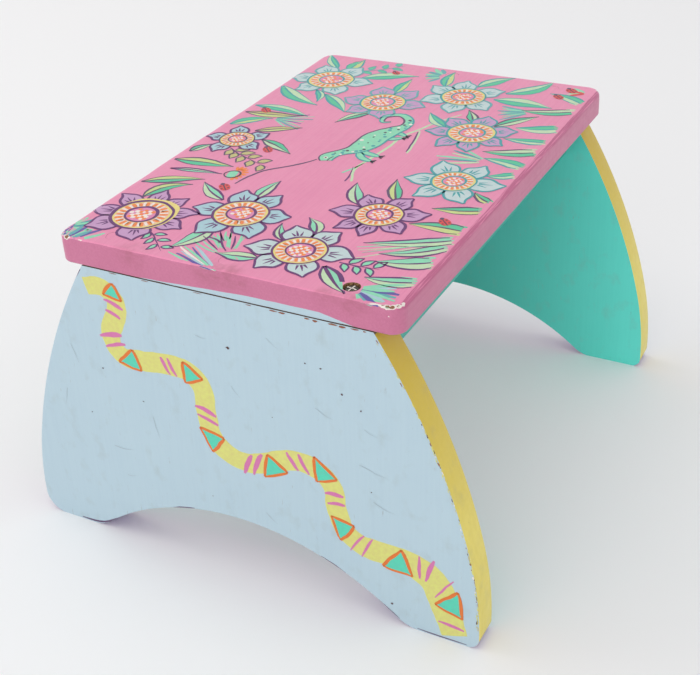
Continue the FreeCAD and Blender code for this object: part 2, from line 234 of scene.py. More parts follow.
PRIMER = "#E9E2D8"
BARE_PINE = "#8A5B3C"
OLD_GREEN = "#2F5A45"
SKY_BLUE = Coat("#B4CAD4", "#ABC2CF", Run.DOWN, 0.4)
# The seat's pink twice, lit and shaded: the darker side coat is painted shade on the sides and ends of the seat.
PINK_SIDE_PAINTED_SHADE = Coat("#C87595", "#BB6788", Run.ALONG, 0.7)
PINK_TOP = Coat("#EA90B1", "#DE7FA5", Run.ALONG, 0.6)
TURQUOISE = Coat("#66E6D6", "#58DACA", Run.DOWN, 0.3)
SHADED_TURQUOISE = Coat("#36AE9F", "#2C9D8E", Run.ALONG, 0.5)
YELLOW = Coat("#E8D768", "#D9C756", Run.DOWN, 0.5)
LILAC = Coat("#8B6FA8", "#75588F", Run.DOWN, 0.5)


@dataclass(frozen=True)
class SeatFinish:
    """Pink enamel brushed over white primer on pine, worn through where it was knocked."""

    name: str = "pink_enamel_on_pine"

    def make(self) -> bpy.types.Material:
        """The seat's material: pink, pale blue low on the ends, primer and wood in the chips."""
        material, tree, shader = new_material(self.name)
        where = add_node(tree, "ShaderNodeTexCoord")
        place = add_node(tree, "ShaderNodeSeparateXYZ", Vector=where.outputs["Object"])
        facing = add_node(tree, "ShaderNodeSeparateXYZ", Vector=where.outputs["Normal"])
        # Painted light and shade: faces that point up take the lighter pink, faces that point sideways the darker pink.
        lit_top_mask = ragged(tree, facing.outputs[2], 0.55, 9.0, 0.2, 6.1)
        colour = layer(tree, lit_top_mask, PINK_SIDE_PAINTED_SHADE.colour_nodes(tree), PINK_TOP.colour_nodes(tree))
        # A darker pink laid in a ragged, streaky band along the front rounding of the top.
        outer_mm = add_node(tree, "ShaderNodeMath", {"operation": "MULTIPLY_ADD"}, _0=place.outputs[1], _1=-1.0 / MM, _2=-112.8)
        streaky = grain(tree, (26.0, 0.8, 6.0), 4.0, 8.8)
        eased = ragged(tree, outer_mm.outputs[0], 0.0, 16.0, 0.9, 9.3)
        below = add_node(tree, "ShaderNodeMapRange", _0=facing.outputs[2], _1=0.1, _2=0.35)
        front_rounding_band = add_node(tree, "ShaderNodeMath", {"operation": "MULTIPLY"}, _0=eased, _1=below.outputs[0])
        some = add_node(tree, "ShaderNodeMapRange", _0=streaky, _1=0.36, _2=0.52, _3=0.15, _4=0.85)
        dark_edge = add_node(tree, "ShaderNodeMath", {"operation": "MULTIPLY"}, _0=front_rounding_band.outputs[0], _1=some.outputs[0])
        colour = layer(tree, dark_edge.outputs[0], colour, linear("#B5587F"))
        on_end = add_node(tree, "ShaderNodeMath", {"operation": "ABSOLUTE"}, _0=facing.outputs[0])
        end_mask = add_node(tree, "ShaderNodeMath", {"operation": "GREATER_THAN"}, _0=on_end.outputs[0], _1=0.6)
        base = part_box("seat_board")[0][2]
        rise = add_node(tree, "ShaderNodeMapRange", _0=place.outputs[1], _1=-20 * MM, _2=78 * MM, _3=4.9 * MM, _4=-0.6 * MM)
        taper = add_node(tree, "ShaderNodeMapRange", _0=place.outputs[1], _1=-97.5 * MM, _2=-66 * MM, _3=-1.2 * MM, _4=4.9 * MM)
        lower = add_node(tree, "ShaderNodeMath", {"operation": "MINIMUM"}, _0=rise.outputs[0], _1=taper.outputs[0])
        over = add_node(tree, "ShaderNodeMath", {"operation": "SUBTRACT"}, _0=lower.outputs[0], _1=place.outputs[2])
        depth_mm = add_node(tree, "ShaderNodeMath", {"operation": "MULTIPLY_ADD"}, _0=over.outputs[0], _1=1.0 / MM, _2=base / MM)
        low = ragged(tree, depth_mm.outputs[0], 0.0, 14.0, 0.5, 2.2)
        overlap = add_node(tree, "ShaderNodeMath", {"operation": "MULTIPLY"}, _0=low, _1=end_mask.outputs[0])
        colour = layer(tree, overlap.outputs[0], colour, SKY_BLUE.colour_nodes(tree))
        under = add_node(tree, "ShaderNodeMath", {"operation": "MULTIPLY"}, _0=facing.outputs[2], _1=-1.0)
        out_mm = add_node(tree, "ShaderNodeMath", {"operation": "ABSOLUTE"}, _0=place.outputs[0])
        at_end = add_node(tree, "ShaderNodeMath", {"operation": "GREATER_THAN"}, _0=out_mm.outputs[0], _1=172.5 * MM)
        on_seam = add_node(tree, "ShaderNodeMath", {"operation": "MULTIPLY"}, _0=ragged(tree, under.outputs[0], 0.55, 14.0, 0.7, 3.7), _1=at_end.outputs[0])
        colour = layer(tree, on_seam.outputs[0], colour, linear("#7A6458"))
        chip = add_node(tree, "ShaderNodeAttribute", {"attribute_name": "chip"})
        primer = ragged(tree, chip.outputs["Fac"], 0.5, 2.2, 0.32, 0.4)
        colour = layer(tree, primer, colour, linear(PRIMER))
        bare = ragged(tree, chip.outputs["Fac"], 0.72, 1.8, 0.3, 7.7)
        colour = layer(tree, bare, colour, linear(BARE_PINE))
        grime = add_node(tree, "ShaderNodeAttribute", {"attribute_name": "grime"})
        blot = grain(tree, (5.5, 5.5, 3.0), 6.0, 4.4)
        soft = add_node(tree, "ShaderNodeMapRange", _0=blot, _1=0.36, _2=0.7, _3=0.12, _4=0.85)
        smear = add_node(tree, "ShaderNodeMath", {"operation": "MULTIPLY"}, _0=grime.outputs["Fac"], _1=soft.outputs[0])
        colour = layer(tree, smear.outputs[0], colour, linear("#934C56"))
        satin(tree, shader, colour, Run.ALONG)
        return material


@dataclass(frozen=True)
class PanelFinish:
    """Enamels brushed on a pine panel: one colour for each way that the surface faces."""

    name: str
    outward: float

    def make(self) -> bpy.types.Material:
        """The panel's material: blue outside, turquoise inside, yellow and lilac edges."""
        material, tree, shader = new_material(self.name)
        where = add_node(tree, "ShaderNodeTexCoord")
        facing = add_node(tree, "ShaderNodeSeparateXYZ", Vector=where.outputs["Normal"])
        outer = add_node(tree, "ShaderNodeMath", {"operation": "MULTIPLY"}, _0=facing.outputs[0], _1=self.outward)
        inner = add_node(tree, "ShaderNodeMath", {"operation": "MULTIPLY"}, _0=facing.outputs[0], _1=-self.outward)
        back = ragged(tree, facing.outputs[1], 0.0, 30.0, 0.05)
        down = add_node(tree, "ShaderNodeMath", {"operation": "MULTIPLY"}, _0=facing.outputs[2], _1=-1.0)
        under = ragged(tree, down.outputs[0], 0.35, 20.0, 0.1)
        place = add_node(tree, "ShaderNodeSeparateXYZ", Vector=where.outputs["Object"])
        # Painted shade: the yellow edges turn deeper towards the top, where the seat shades them.
        shade_towards_top = add_node(tree, "ShaderNodeMapRange", _0=place.outputs[2], _1=80 * MM, _2=185 * MM, _3=0.0, _4=0.95)
        yellow_in_painted_shade = layer(tree, shade_towards_top.outputs[0], YELLOW.colour_nodes(tree), linear("#C8AA24"))
        # Painted shade: the turquoise inner face darkens towards its middle, under the seat.
        from_middle = add_node(tree, "ShaderNodeMath", {"operation": "ABSOLUTE"}, _0=place.outputs[1])
        shady = add_node(tree, "ShaderNodeMapRange", _0=from_middle.outputs[0], _1=15 * MM, _2=150 * MM, _3=0.7, _4=0.0)
        turquoise_in_painted_shade = layer(tree, shady.outputs[0], TURQUOISE.colour_nodes(tree), linear("#229283"))
        colour = layer(tree, back, yellow_in_painted_shade, LILAC.colour_nodes(tree))
        colour = layer(tree, under, colour, LILAC.colour_nodes(tree))
        colour = layer(tree, ragged(tree, inner.outputs[0], 0.45, 9.0, 0.22, 3.0), colour, turquoise_in_painted_shade)
        colour = layer(tree, ragged(tree, outer.outputs[0], 0.45, 9.0, 0.22, 1.0), colour, SKY_BLUE.colour_nodes(tree))
        seam_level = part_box("seat_board")[0][2] - 1.4 * MM
        in_seam = add_node(tree, "ShaderNodeMath", {"operation": "GREATER_THAN"}, _0=place.outputs[2], _1=seam_level)
        broken = ragged(tree, facing.outputs[2], 0.7, 14.0, 0.6, 5.0)
        seam = add_node(tree, "ShaderNodeMath", {"operation": "MULTIPLY"}, _0=in_seam.outputs[0], _1=broken)
        colour = layer(tree, seam.outputs[0], colour, linear("#6E5A4E"))
        chip = add_node(tree, "ShaderNodeAttribute", {"attribute_name": "chip"})
        colour = layer(tree, ragged(tree, chip.outputs["Fac"], 0.5, 1.6, 0.42, 0.4), colour, linear(PRIMER))
        colour = layer(tree, ragged(tree, chip.outputs["Fac"], 0.66, 1.3, 0.42, 7.7), colour, linear(BARE_PINE))
        grime = add_node(tree, "ShaderNodeAttribute", {"attribute_name": "grime"})
        colour = layer(tree, ragged(tree, grime.outputs["Fac"], 0.6, 0.9, 0.5, 4.4), colour, linear("#5A4A42"))
        rubbed = grain(tree, (13.0, 11.0, 15.0), 7.0, 12.5)
        handled = add_node(tree, "ShaderNodeMapRange", _0=rubbed, _1=0.56, _2=0.78, _3=0.0, _4=0.22)
        colour = layer(tree, handled.outputs[0], colour, linear("#8F9489"))
        scratches = grain(tree, (1.2, 1.4, 11.0), 3.0, 31.0)
        fine = add_node(tree, "ShaderNodeMapRange", _0=scratches, _1=0.7, _2=0.76, _3=0.0, _4=0.45)
        colour = layer(tree, fine.outputs[0], colour, linear("#8C857C"))
        satin(tree, shader, colour, Run.DOWN, 0.42, 0.03)
        return material


@dataclass(frozen=True)
class PlainCoatFinish:
    """A single brushed enamel coat, as on the rails and under the seat."""

    name: str
    coat: Coat

    def make(self) -> bpy.types.Material:
        """The material of one brushed coat."""
        material, tree, shader = new_material(self.name)
        satin(tree, shader, self.coat.colour_nodes(tree), self.coat.run)
        return material


@dataclass(frozen=True)
class ArtistPaintFinish:
    """Artist's acrylic laid on by hand with a fine brush: slightly uneven, satin, a little raised."""

    name: str
    colour: str

    def make(self) -> bpy.types.Material:
        """The material of one acrylic colour."""
        material, tree, shader = new_material(self.name)
        red, green, blue, _ = linear(self.colour)
        thin = (red * 0.86 + 0.05, green * 0.84, blue * 0.86 + 0.03, 1.0)
        cover = grain(tree, (2.6, 2.6, 2.6), 4.0, 6.0)
        amount = add_node(tree, "ShaderNodeMapRange", _0=cover, _1=0.36, _2=0.68, _3=0.0, _4=0.7)
        mixed = add_node(tree, "ShaderNodeMix", {"data_type": "RGBA"}, _0=amount.outputs[0], _6=linear(self.colour), _7=thin)
        bump = add_node(tree, "ShaderNodeBump", Height=cover, Strength=0.5, Distance=0.05 * MM)
        tree.links.new(mixed.outputs[2], shader.inputs["Base Color"])
        tree.links.new(bump.outputs[0], shader.inputs["Normal"])
        shader.inputs["Roughness"].default_value = 0.45
        shader.inputs["IOR"].default_value = 1.48
        return material


@dataclass(frozen=True)
class ScrewSteelFinish:
    """Zinc-plated steel screw: dull grey metal with paint caught in its recess."""

    name: str = "dulled_zinc_plate"

    def make(self) -> bpy.types.Material:
        """The screws' material."""
        material, tree, shader = new_material(self.name)
        spots = grain(tree, (1.4, 1.4, 1.4), 4.0)
        dirt = add_node(tree, "ShaderNodeMapRange", _0=spots, _1=0.42, _2=0.6)
        colour = layer(tree, dirt.outputs[0], linear("#6E6A60"), linear("#2E2A26"))
        tree.links.new(colour, shader.inputs["Base Color"])
        rough = add_node(tree, "ShaderNodeMapRange", _0=spots, _1=0.3, _2=0.7, _3=0.35, _4=0.7)
        tree.links.new(rough.outputs[0], shader.inputs["Roughness"])
        shader.inputs["Metallic"].default_value = 0.85
        return material


@dataclass(frozen=True)
class FillerFinish:
    """Brown wood filler, broken open around a screw."""

    name: str = "broken_wood_filler"

    def make(self) -> bpy.types.Material:
        """The material of the broken hole's wall."""
        material, tree, shader = new_material(self.name)
        crumbs = grain(tree, (1.2, 1.2, 1.2), 5.0)
        amount = add_node(tree, "ShaderNodeMapRange", _0=crumbs, _1=0.35, _2=0.65)
        colour = layer(tree, amount.outputs[0], linear("#B98F5E"), linear("#5E3F28"))
        bump = add_node(tree, "ShaderNodeBump", Height=crumbs, Strength=0.9, Distance=0.4 * MM)
        tree.links.new(colour, shader.inputs["Base Color"])
        tree.links.new(bump.outputs[0], shader.inputs["Normal"])
        shader.inputs["Roughness"].default_value = 0.85
        return material


def finished_object(name: str, bm: bmesh.types.BMesh, materials: list[bpy.types.Material], smooth_degrees: float = 38.0) -> bpy.types.Object:
    """Turn a bmesh to an object at the origin, shaded smooth up to an angle.

    Args:
        name: the piece's name.
        bm: its shape, in metres in the stool's frame; it is freed.
        materials: its material slots.
        smooth_degrees: edges sharper than this stay sharp.

    Returns:
        The object, linked to the scene.
    """
    mesh = bpy.data.meshes.new(name)
    for face in bm.faces:
        face.smooth = True
    bm.to_mesh(mesh)
    bm.free()
    for material in materials:
        mesh.materials.append(material)
    mesh.set_sharp_from_angle(angle=math.radians(smooth_degrees))
    piece = bpy.data.objects.new(name, mesh)
    bpy.context.scene.collection.objects.link(piece)
    return piece


def baked_modifiers(piece: bpy.types.Object) -> None:
    """Replace a piece's mesh by what its modifiers make of it, and drop them."""
    graph = bpy.context.evaluated_depsgraph_get()
    mesh = bpy.data.meshes.new_from_object(piece.evaluated_get(graph))
    piece.modifiers.clear()
    piece.data = mesh


def cut_away(piece: bpy.types.Object, cutter: bmesh.types.BMesh, material_index: int) -> None:
    """Cut a closed shape out of a piece.

    Args:
        piece: the piece that loses the shape.
        cutter: the closed shape; it is freed.
        material_index: slot that the new walls take.
    """
    for face in cutter.faces:
        face.material_index = material_index
    mesh = bpy.data.meshes.new("cutter")
    cutter.to_mesh(mesh)
    cutter.free()
    for material in piece.data.materials:
        mesh.materials.append(material)
    tool = bpy.data.objects.new("cutter", mesh)
    bpy.context.scene.collection.objects.link(tool)
    cut = piece.modifiers.new("cut", "BOOLEAN")
    cut.operation = "DIFFERENCE"
    cut.solver = "EXACT"
    cut.object = tool
    baked_modifiers(piece)
    bpy.data.objects.remove(tool)
    bpy.data.meshes.remove(mesh)


def add_to_stool(piece: bpy.types.Object, slot: str, *nodes: str) -> None:
    """Hang a piece on the stool's body and hide the nodes that it stands for."""
    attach(piece, "root")
    if nodes:
        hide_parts(*nodes)


def slice_at(bm: bmesh.types.BMesh, axis: int, places: list[float]) -> None:
    """Cut a shape across at each place along an axis, so that its surface can bend there."""
    normal = [0.0, 0.0, 0.0]
    normal[axis] = 1.0
    for place in places:
        point = [0.0, 0.0, 0.0]
        point[axis] = place
        everything = bm.verts[:] + bm.edges[:] + bm.faces[:]
        bmesh.ops.bisect_plane(bm, geom=everything, dist=1e-7, plane_co=point, plane_no=normal)


def spaced(half: float, fine: float, coarse: float, margin: float) -> list[float]:
    """Places from -half to half: closely spaced near both ends, further apart between them."""
    places = []
    place = fine
    while place < margin:
        places += [half - place, place - half]
        place += fine
    steps = max(1, round(2 * (half - margin) / coarse))
    places += [-(half - margin) + 2 * (half - margin) * i / steps for i in range(steps + 1)]
    return sorted(places)


@dataclass(frozen=True)
class Wear:
    """A knock or a dirty place: where it is, how far it reaches and how strong it is."""

    x: float
    y: float
    z: float
    reach: float
    strength: float

    def at(self, point: Vector) -> float:
        """How strongly the place is worn at a point, in metres."""
        away = (point - Vector((self.x, self.y, self.z)) * MM).length / (self.reach * MM)
        return self.strength * max(0.0, 1.0 - away * away)


def mark_wear(piece: bpy.types.Object, name: str, spots: list[Wear]) -> None:
    """Store the strongest wear at each point of a piece as an attribute."""
    mesh = piece.data
    values = [max([0.0] + [spot.at(vertex.co) for spot in spots]) for vertex in mesh.vertices]
    attribute = mesh.attributes.new(name, "FLOAT", "POINT")
    attribute.data.foreach_set("value", values)


@dataclass
class SeatBoard:
    """The seat board, its edges rounded by hand, with six screw holes."""

    corner: float = 10.0
    worn_corner: float = 9.0
    front_edge_round: float = 3.2
    back_edge_round: float = 1.5
    end_edge_round: float = 1.3
    base_round: float = 1.2
    bore_radius: float = 5.2
    bore_depth: float = 4.0
    clear_radius: float = 2.5
    chips: tuple[Wear, ...] = (
        Wear(-167.5, -114.8, 224.6, 2.6, 0.84),
        Wear(-170.5, -112.9, 224.6, 2.6, 0.88),
        Wear(-172.8, -110.4, 224.6, 2.8, 1.0),
        Wear(-174.0, -107.6, 224.6, 2.8, 0.98),
        Wear(-174.4, -104.6, 224.6, 2.8, 0.9),
        Wear(-174.6, -101.2, 224.6, 2.4, 0.8),
        Wear(-174.6, -98.0, 224.6, 2.0, 0.7),
        Wear(-174.8, -94.8, 224.6, 1.5, 0.62),
        Wear(-174.9, -109.0, 219, 2.0, 0.56),
        Wear(-168.5, 113.8, 224.6, 2.4, 0.75),
        Wear(-171.8, 111.4, 224.6, 2.6, 0.85),
        Wear(-173.8, 108.0, 224.4, 3.0, 0.9),
        Wear(-174.4, 104.2, 224.6, 2.0, 0.66),
        Wear(-174.5, 99.0, 224.6, 1.8, 0.72),
        Wear(-174.5, 93.0, 224.6, 1.9, 0.74),
        Wear(-174.5, 88.6, 224.6, 1.8, 0.72),
        Wear(-175.0, 104.0, 217, 1.6, 0.64),
        Wear(-175.0, 22.0, 224.2, 1.4, 0.6),
        Wear(-48.0, -113.0, 225, 2.2, 0.8),
        Wear(-63.0, -116.0, 223, 2.2, 0.8),
        Wear(-104.0, 114.0, 225, 3.0, 0.7),
        Wear(-175.0, -48.0, 217, 2.0, 0.7),
        Wear(170.0, -112.0, 224.5, 2.5, 0.6),
        Wear(171.0, 111.0, 224.5, 2.5, 0.62),
    )
    grime: tuple[Wear, ...] = (
        Wear(-175.0, 6.0, 224, 14.0, 0.5),
        Wear(-175.0, -6.0, 224, 12.0, 0.68),
        Wear(-175.0, -14.0, 220, 7.0, 0.55),
        Wear(-175.0, -88.0, 225, 13.0, 0.55),
        Wear(-175.0, -70.0, 225, 10.0, 0.5),
        Wear(-175.0, 60.0, 224, 14.0, 0.45),
    )

    def blank(self) -> bmesh.types.BMesh:
        """The squared board with rounded uprights and weights for its other edges."""
        low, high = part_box("seat_board")
        size = [high[i] - low[i] for i in range(3)]
        size[2] -= ART_DEPTH
        centre = Vector(((low[0] + high[0]) / 2, (low[1] + high[1]) / 2, low[2] + size[2] / 2))
        bm = bmesh.new()
        bmesh.ops.create_cube(bm, size=1.0, matrix=Matrix.Translation(centre) @ Matrix.Diagonal((*size, 1.0)))
        for side, radius in ((-1, self.worn_corner), (1, self.corner)):
            uprights = [e for e in bm.edges if abs(e.verts[0].co.z - e.verts[1].co.z) > size[2] / 2 and e.verts[0].co.x * side > high[0] * 0.99]
            bmesh.ops.bevel(bm, geom=uprights, offset=radius * MM, segments=7, profile=0.5, affect="EDGES", material=-1)
        weights = bm.edges.layers.float.new("bevel_weight_edge")
        top = low[2] + size[2]
        for edge in bm.edges:
            first, second = edge.verts
            if abs(first.co.z - second.co.z) > 1e-6:
                continue
            if first.co.z < top - 1e-6:
                edge[weights] = self.base_round / self.front_edge_round
                continue
            run = (second.co - first.co).normalized()
            long_round = self.front_edge_round if first.co.y < 0 else self.back_edge_round
            edge[weights] = (self.end_edge_round + (long_round - self.end_edge_round) * abs(run.x)) / self.front_edge_round
        return bm

    def weather(self, piece: bpy.types.Object) -> None:
        """Ease the edges unevenly, as sanding by hand does, and dent the knocked corners."""
        low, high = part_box("seat_board")
        for vertex in piece.data.vertices:
            point = vertex.co
            from_side = min(point.y - low[1], high[1] - point.y)
            from_end = min(point.x - low[0], high[0] - point.x)
            from_top = high[2] - ART_DEPTH - point.z
            if from_top < 6 * MM and from_side < 4.5 * MM:
                ease = noise.noise(Vector((point.x * 38, point.y * 4, 3.0))) * 0.5 + 0.5
                inward = -1.0 if point.y > 0 else 1.0
                fade = max(0.0, 1.0 - from_top / (6 * MM))
                point.y += inward * 0.7 * MM * ease * fade
                point.z -= 0.35 * MM * ease * fade * (from_side < 2.5 * MM)
            if from_top < 5 * MM and from_end < 3 * MM:
                ease = noise.noise(Vector((3.0, point.y * 30, 9.0))) * 0.5 + 0.5
                inward = -1.0 if point.x > 0 else 1.0
                point.x += inward * 0.4 * MM * ease * max(0.0, 1.0 - from_top / (5 * MM))
            for chip in self.chips:
                hit = chip.at(point)
                if hit > 0.35:
                    crumb = noise.noise(point * 900) * 0.5 + 0.5
                    inward = Vector((-point.x, -point.y, 0.0)).normalized() * 0.6 + Vector((0, 0, -0.8))
                    point += inward * (hit - 0.35) * (0.5 + crumb) * 0.9 * MM
                    break

    def bore_cutter(self, x: float, y: float, ragged_rim: bool) -> bmesh.types.BMesh:
        """The counterbore of one seat screw.

        Args:
            x: place along the board.
            y: place across it.
            ragged_rim: whether the filler has broken out and torn the rim.

        Returns:
            A closed plug, to be cut away.
        """
        bm = bmesh.new()
        top = SEAT_LEVEL + 1.0 * MM
        floor = SEAT_LEVEL - self.bore_depth * MM
        bmesh.ops.create_cone(bm, cap_ends=True, segments=48, radius1=self.bore_radius * MM, radius2=self.bore_radius * MM, depth=top - floor,
                              matrix=Matrix.Translation((x, y, (top + floor) / 2)))
        if ragged_rim:
            walls = [e for e in bm.edges if abs(e.verts[0].co.z - e.verts[1].co.z) > 1 * MM]
            bmesh.ops.subdivide_edges(bm, edges=walls, cuts=4, use_grid_fill=True)
            for vertex in bm.verts:
                out = Vector((vertex.co.x - x, vertex.co.y - y, 0.0))
                if out.length < 1 * MM:
                    continue
                tear = noise.noise(vertex.co * 420) * 0.5 + 0.5
                rise = (vertex.co.z - floor) / (top - floor)
                vertex.co += out.normalized() * MM * (0.9 * tear * rise ** 3 - 0.15)
        return bm

    def build(self) -> bpy.types.Object:
        """Make the board, cut its holes, wear it and paint it."""
        pink = SeatFinish().make()
        filler = FillerFinish().make()
        board = finished_object("seat_board_painted", self.blank(), [pink, filler])
        rounding = board.modifiers.new("rounding", "BEVEL")
        rounding.limit_method = "WEIGHT"
        rounding.width = self.front_edge_round * MM
        rounding.segments = 4
        baked_modifiers(board)
        bm = bmesh.new()
        bm.from_mesh(board.data)
        low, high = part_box("seat_board")
        slice_at(bm, 0, spaced((high[0] - low[0]) / 2, 1.2 * MM, 4.0 * MM, 9.6 * MM))
        slice_at(bm, 1, spaced((high[1] - low[1]) / 2, 1.2 * MM, 4.0 * MM, 9.6 * MM))
        slice_at(bm, 2, [low[2] + 18 * MM * i / 9 for i in range(1, 9)])
        bm.to_mesh(board.data)
        bm.free()
        self.weather(board)
        for node in sorted(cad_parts):
            if node.startswith("seat_screw_"):
                a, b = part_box(node)
                x, y = (a[0] + b[0]) / 2, (a[1] + b[1]) / 2
                cut_away(board, self.bore_cutter(x, y, node == "seat_screw_left_front"), 1)
        mark_wear(board, "chip", list(self.chips))
        mark_wear(board, "grime", list(self.grime))
        board.data.set_sharp_from_angle(angle=math.radians(38))
        add_to_stool(board, "seat_paint", "seat_board")
        return board


@dataclass
class EndPanel:
    """An end panel: arched between its feet, its sides swelling down to the floor."""

    node: str
    outward: float
    thick: float = 20.0
    splay: float = 1.5
    top_half: float = 98.5
    spare: float = 1.0
    side_radius: float = 440.0
    side_centre_drop: float = 239.0
    side_bend_drop: float = 140.0
    side_ends: float = 11.0
    front_foot_corner: float = 8.0
    back_foot_corner: float = 15.0
    toe_round: float = 25.0
    arch_radius: float = 172.5
    arch_height: float = 45.0
    edge_round: float = 1.1
    chips: tuple[Wear, ...] = ()
    grime: tuple[Wear, ...] = ()

    def half_outline(self, bm: bmesh.types.BMesh, slope: float, foot_corner: float, side: float) -> None:
        """Draw one half of the outline in mm, in the YZ plane, from the top down to the arch's crown.

        Args:
            bm: takes the outline's edges.
            slope: height of the panel along its lean.
            foot_corner: radius of the foot's outer corner.
            side: 1 for the half towards +Y and -1 for the other.
        """
        base = -slope
        others = set(bm.verts)
        start = bm.verts.new((0.0, 0.0, self.spare))
        corner = self.draw_line(bm, start, (0.0, self.top_half, self.spare))
        rise = self.spare + self.side_centre_drop
        centre_y = self.top_half - math.sqrt(self.side_radius**2 - rise**2)
        first = math.asin(rise / self.side_radius)
        bend = math.asin((self.side_centre_drop - self.side_bend_drop) / self.side_radius)
        knee = self.draw_arc(bm, corner, (centre_y, -self.side_centre_drop), bend - first, 36)
        low_radius = (knee.co.z - base - max(foot_corner, self.side_ends)) / math.sin(bend)
        low_centre = (knee.co.y - low_radius * math.cos(bend), knee.co.z - low_radius * math.sin(bend))
        foot = self.draw_arc(bm, knee, low_centre, -bend, 18)
        if foot_corner < self.side_ends:
            foot = self.draw_line(bm, foot, (0.0, foot.co.y, base + foot_corner))
        heel = self.draw_arc(bm, foot, (foot.co.y - foot_corner, foot.co.z), -math.pi / 2, 14)
        arch_centre = (0.0, -(slope - self.arch_height + self.arch_radius))
        toe_rise = base + self.toe_round - arch_centre[1]
        toe_y = math.sqrt((self.arch_radius + self.toe_round) ** 2 - toe_rise**2)
        meet = math.atan2(toe_rise, toe_y)
        toe = self.draw_line(bm, heel, (0.0, toe_y, base))
        crown = self.draw_arc(bm, toe, (toe_y, base + self.toe_round), meet - math.pi / 2, 10)
        self.draw_arc(bm, crown, arch_centre, math.pi / 2 - meet, 26)
        bmesh.ops.scale(bm, verts=[vert for vert in bm.verts if vert not in others], vec=(1.0, side, 1.0))

    def draw_line(self, bm: bmesh.types.BMesh, start: bmesh.types.BMVert, stop: tuple) -> bmesh.types.BMVert:
        """Extrude a vertex to a point, and return the new vertex."""
        made = bmesh.ops.extrude_vert_indiv(bm, verts=[start])["verts"][0]
        made.co = Vector(stop)
        return made

    def draw_arc(self, bm: bmesh.types.BMesh, start: bmesh.types.BMVert, centre: Flat, angle: float, steps: int) -> bmesh.types.BMVert:
        """Spin a vertex about a centre in the YZ plane, and return the last vertex of the arc."""
        made = bmesh.ops.spin(bm, geom=[start], cent=(0.0, *centre), axis=(1, 0, 0), angle=angle, steps=steps)
        return next(item for item in made["geom_last"] if isinstance(item, bmesh.types.BMVert))

    def build(self) -> bpy.types.Object:
        """Make the panel, plane it level, round its edges and paint it."""
        low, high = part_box(self.node)
        drop = high[2] / MM
        lean = math.radians(self.splay)
        slope = drop / math.cos(lean)
        bm = bmesh.new()
        self.half_outline(bm, slope, self.back_foot_corner, self.outward)
        self.half_outline(bm, slope, self.front_foot_corner, -self.outward)
        bmesh.ops.remove_doubles(bm, verts=bm.verts[:], dist=0.01)
        face = bmesh.ops.contextual_create(bm, geom=bm.edges[:])["faces"][0]
        moved = bmesh.ops.extrude_face_region(bm, geom=[face])["geom"]
        bmesh.ops.translate(bm, verts=[v for v in moved if isinstance(v, bmesh.types.BMVert)], vec=(-self.thick, 0, 0))
        bmesh.ops.scale(bm, verts=bm.verts[:], vec=(MM, MM, MM))
        board_low, board_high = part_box("seat_board")
        turn = Matrix.Rotation(0.0 if self.outward > 0 else math.pi, 4, "Z")
        place = Matrix.Translation((self.outward * board_high[0], 0, high[2]))
        bmesh.ops.transform(bm, verts=bm.verts[:], matrix=place @ turn @ Matrix.Rotation(-lean, 4, "Y"))
        for level, clear_up in ((high[2] - 0.15 * MM, True), (low[2], False)):
            parts = bm.verts[:] + bm.edges[:] + bm.faces[:]
            cut = bmesh.ops.bisect_plane(bm, geom=parts, dist=1e-7, plane_co=(0, 0, level), plane_no=(0, 0, 1),
                                         clear_outer=clear_up, clear_inner=not clear_up)
            rim = [item for item in cut["geom_cut"] if isinstance(item, bmesh.types.BMEdge)]
            bmesh.ops.holes_fill(bm, edges=rim, sides=0)
        bmesh.ops.recalc_face_normals(bm, faces=bm.faces[:])
        sharp = [e for e in bm.edges if len(e.link_faces) == 2 and e.calc_face_angle() > math.radians(50)]
        bmesh.ops.bevel(bm, geom=sharp, offset=self.edge_round * MM, segments=4, profile=0.5, affect="EDGES", material=-1, clamp_overlap=True)
        slice_at(bm, 1, [y * 3.0 * MM for y in range(-54, 55)])
        slice_at(bm, 2, [z * 3.0 * MM for z in range(1, 69)])
        panel = finished_object(self.node + "_painted", bm, [PanelFinish(self.node + "_enamels", self.outward).make()])
        mark_wear(panel, "chip", list(self.chips))
        mark_wear(panel, "grime", list(self.grime))
        add_to_stool(panel, "panel_paint", self.node)
        return panel


@dataclass
class Rail:
    """A rail under one long edge of the seat."""

    node: str
    edge_round: float = 1.0

    def build(self, finish: bpy.types.Material) -> bpy.types.Object:
        """Make the rail, bore it for its two screws and paint it."""
        low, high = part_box(self.node)
        lean = math.tan(math.radians(1.5))
        bm = bmesh.new()
        size = [high[i] - low[i] for i in range(3)]
        middle = Vector([(high[i] + low[i]) / 2 for i in range(3)])
        bmesh.ops.create_cube(bm, size=1.0, matrix=Matrix.Translation(middle) @ Matrix.Diagonal((*size, 1.0)))
        for vertex in bm.verts:
            if vertex.co.z > middle.z:
                vertex.co.x -= math.copysign(size[2] * lean, vertex.co.x)
        long_edges = [e for e in bm.edges if abs(e.verts[0].co.x - e.verts[1].co.x) > 0.1 and e.verts[0].co.z < middle.z]
        bmesh.ops.bevel(bm, geom=long_edges, offset=self.edge_round * MM, segments=3, profile=0.5, affect="EDGES", material=-1)
        rail = finished_object(self.node + "_painted", bm, [finish])
        for node in sorted(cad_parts):
            if node.startswith("rail_screw_" + self.node.split("_")[0]):
                a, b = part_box(node)
                bore = bmesh.new()
                top = a[2] + 2.4 * MM
                floor = low[2] - 2 * MM
                bmesh.ops.create_cone(bore, cap_ends=True, segments=40, radius1=5.2 * MM, radius2=5.2 * MM, depth=top - floor,
                                      matrix=Matrix.Translation(((a[0] + b[0]) / 2, (a[1] + b[1]) / 2, (top + floor) / 2)))
                cut_away(rail, bore, 0)
        rail.data.set_sharp_from_angle(angle=math.radians(38))
        add_to_stool(rail, "rail_paint", self.node)
        return rail


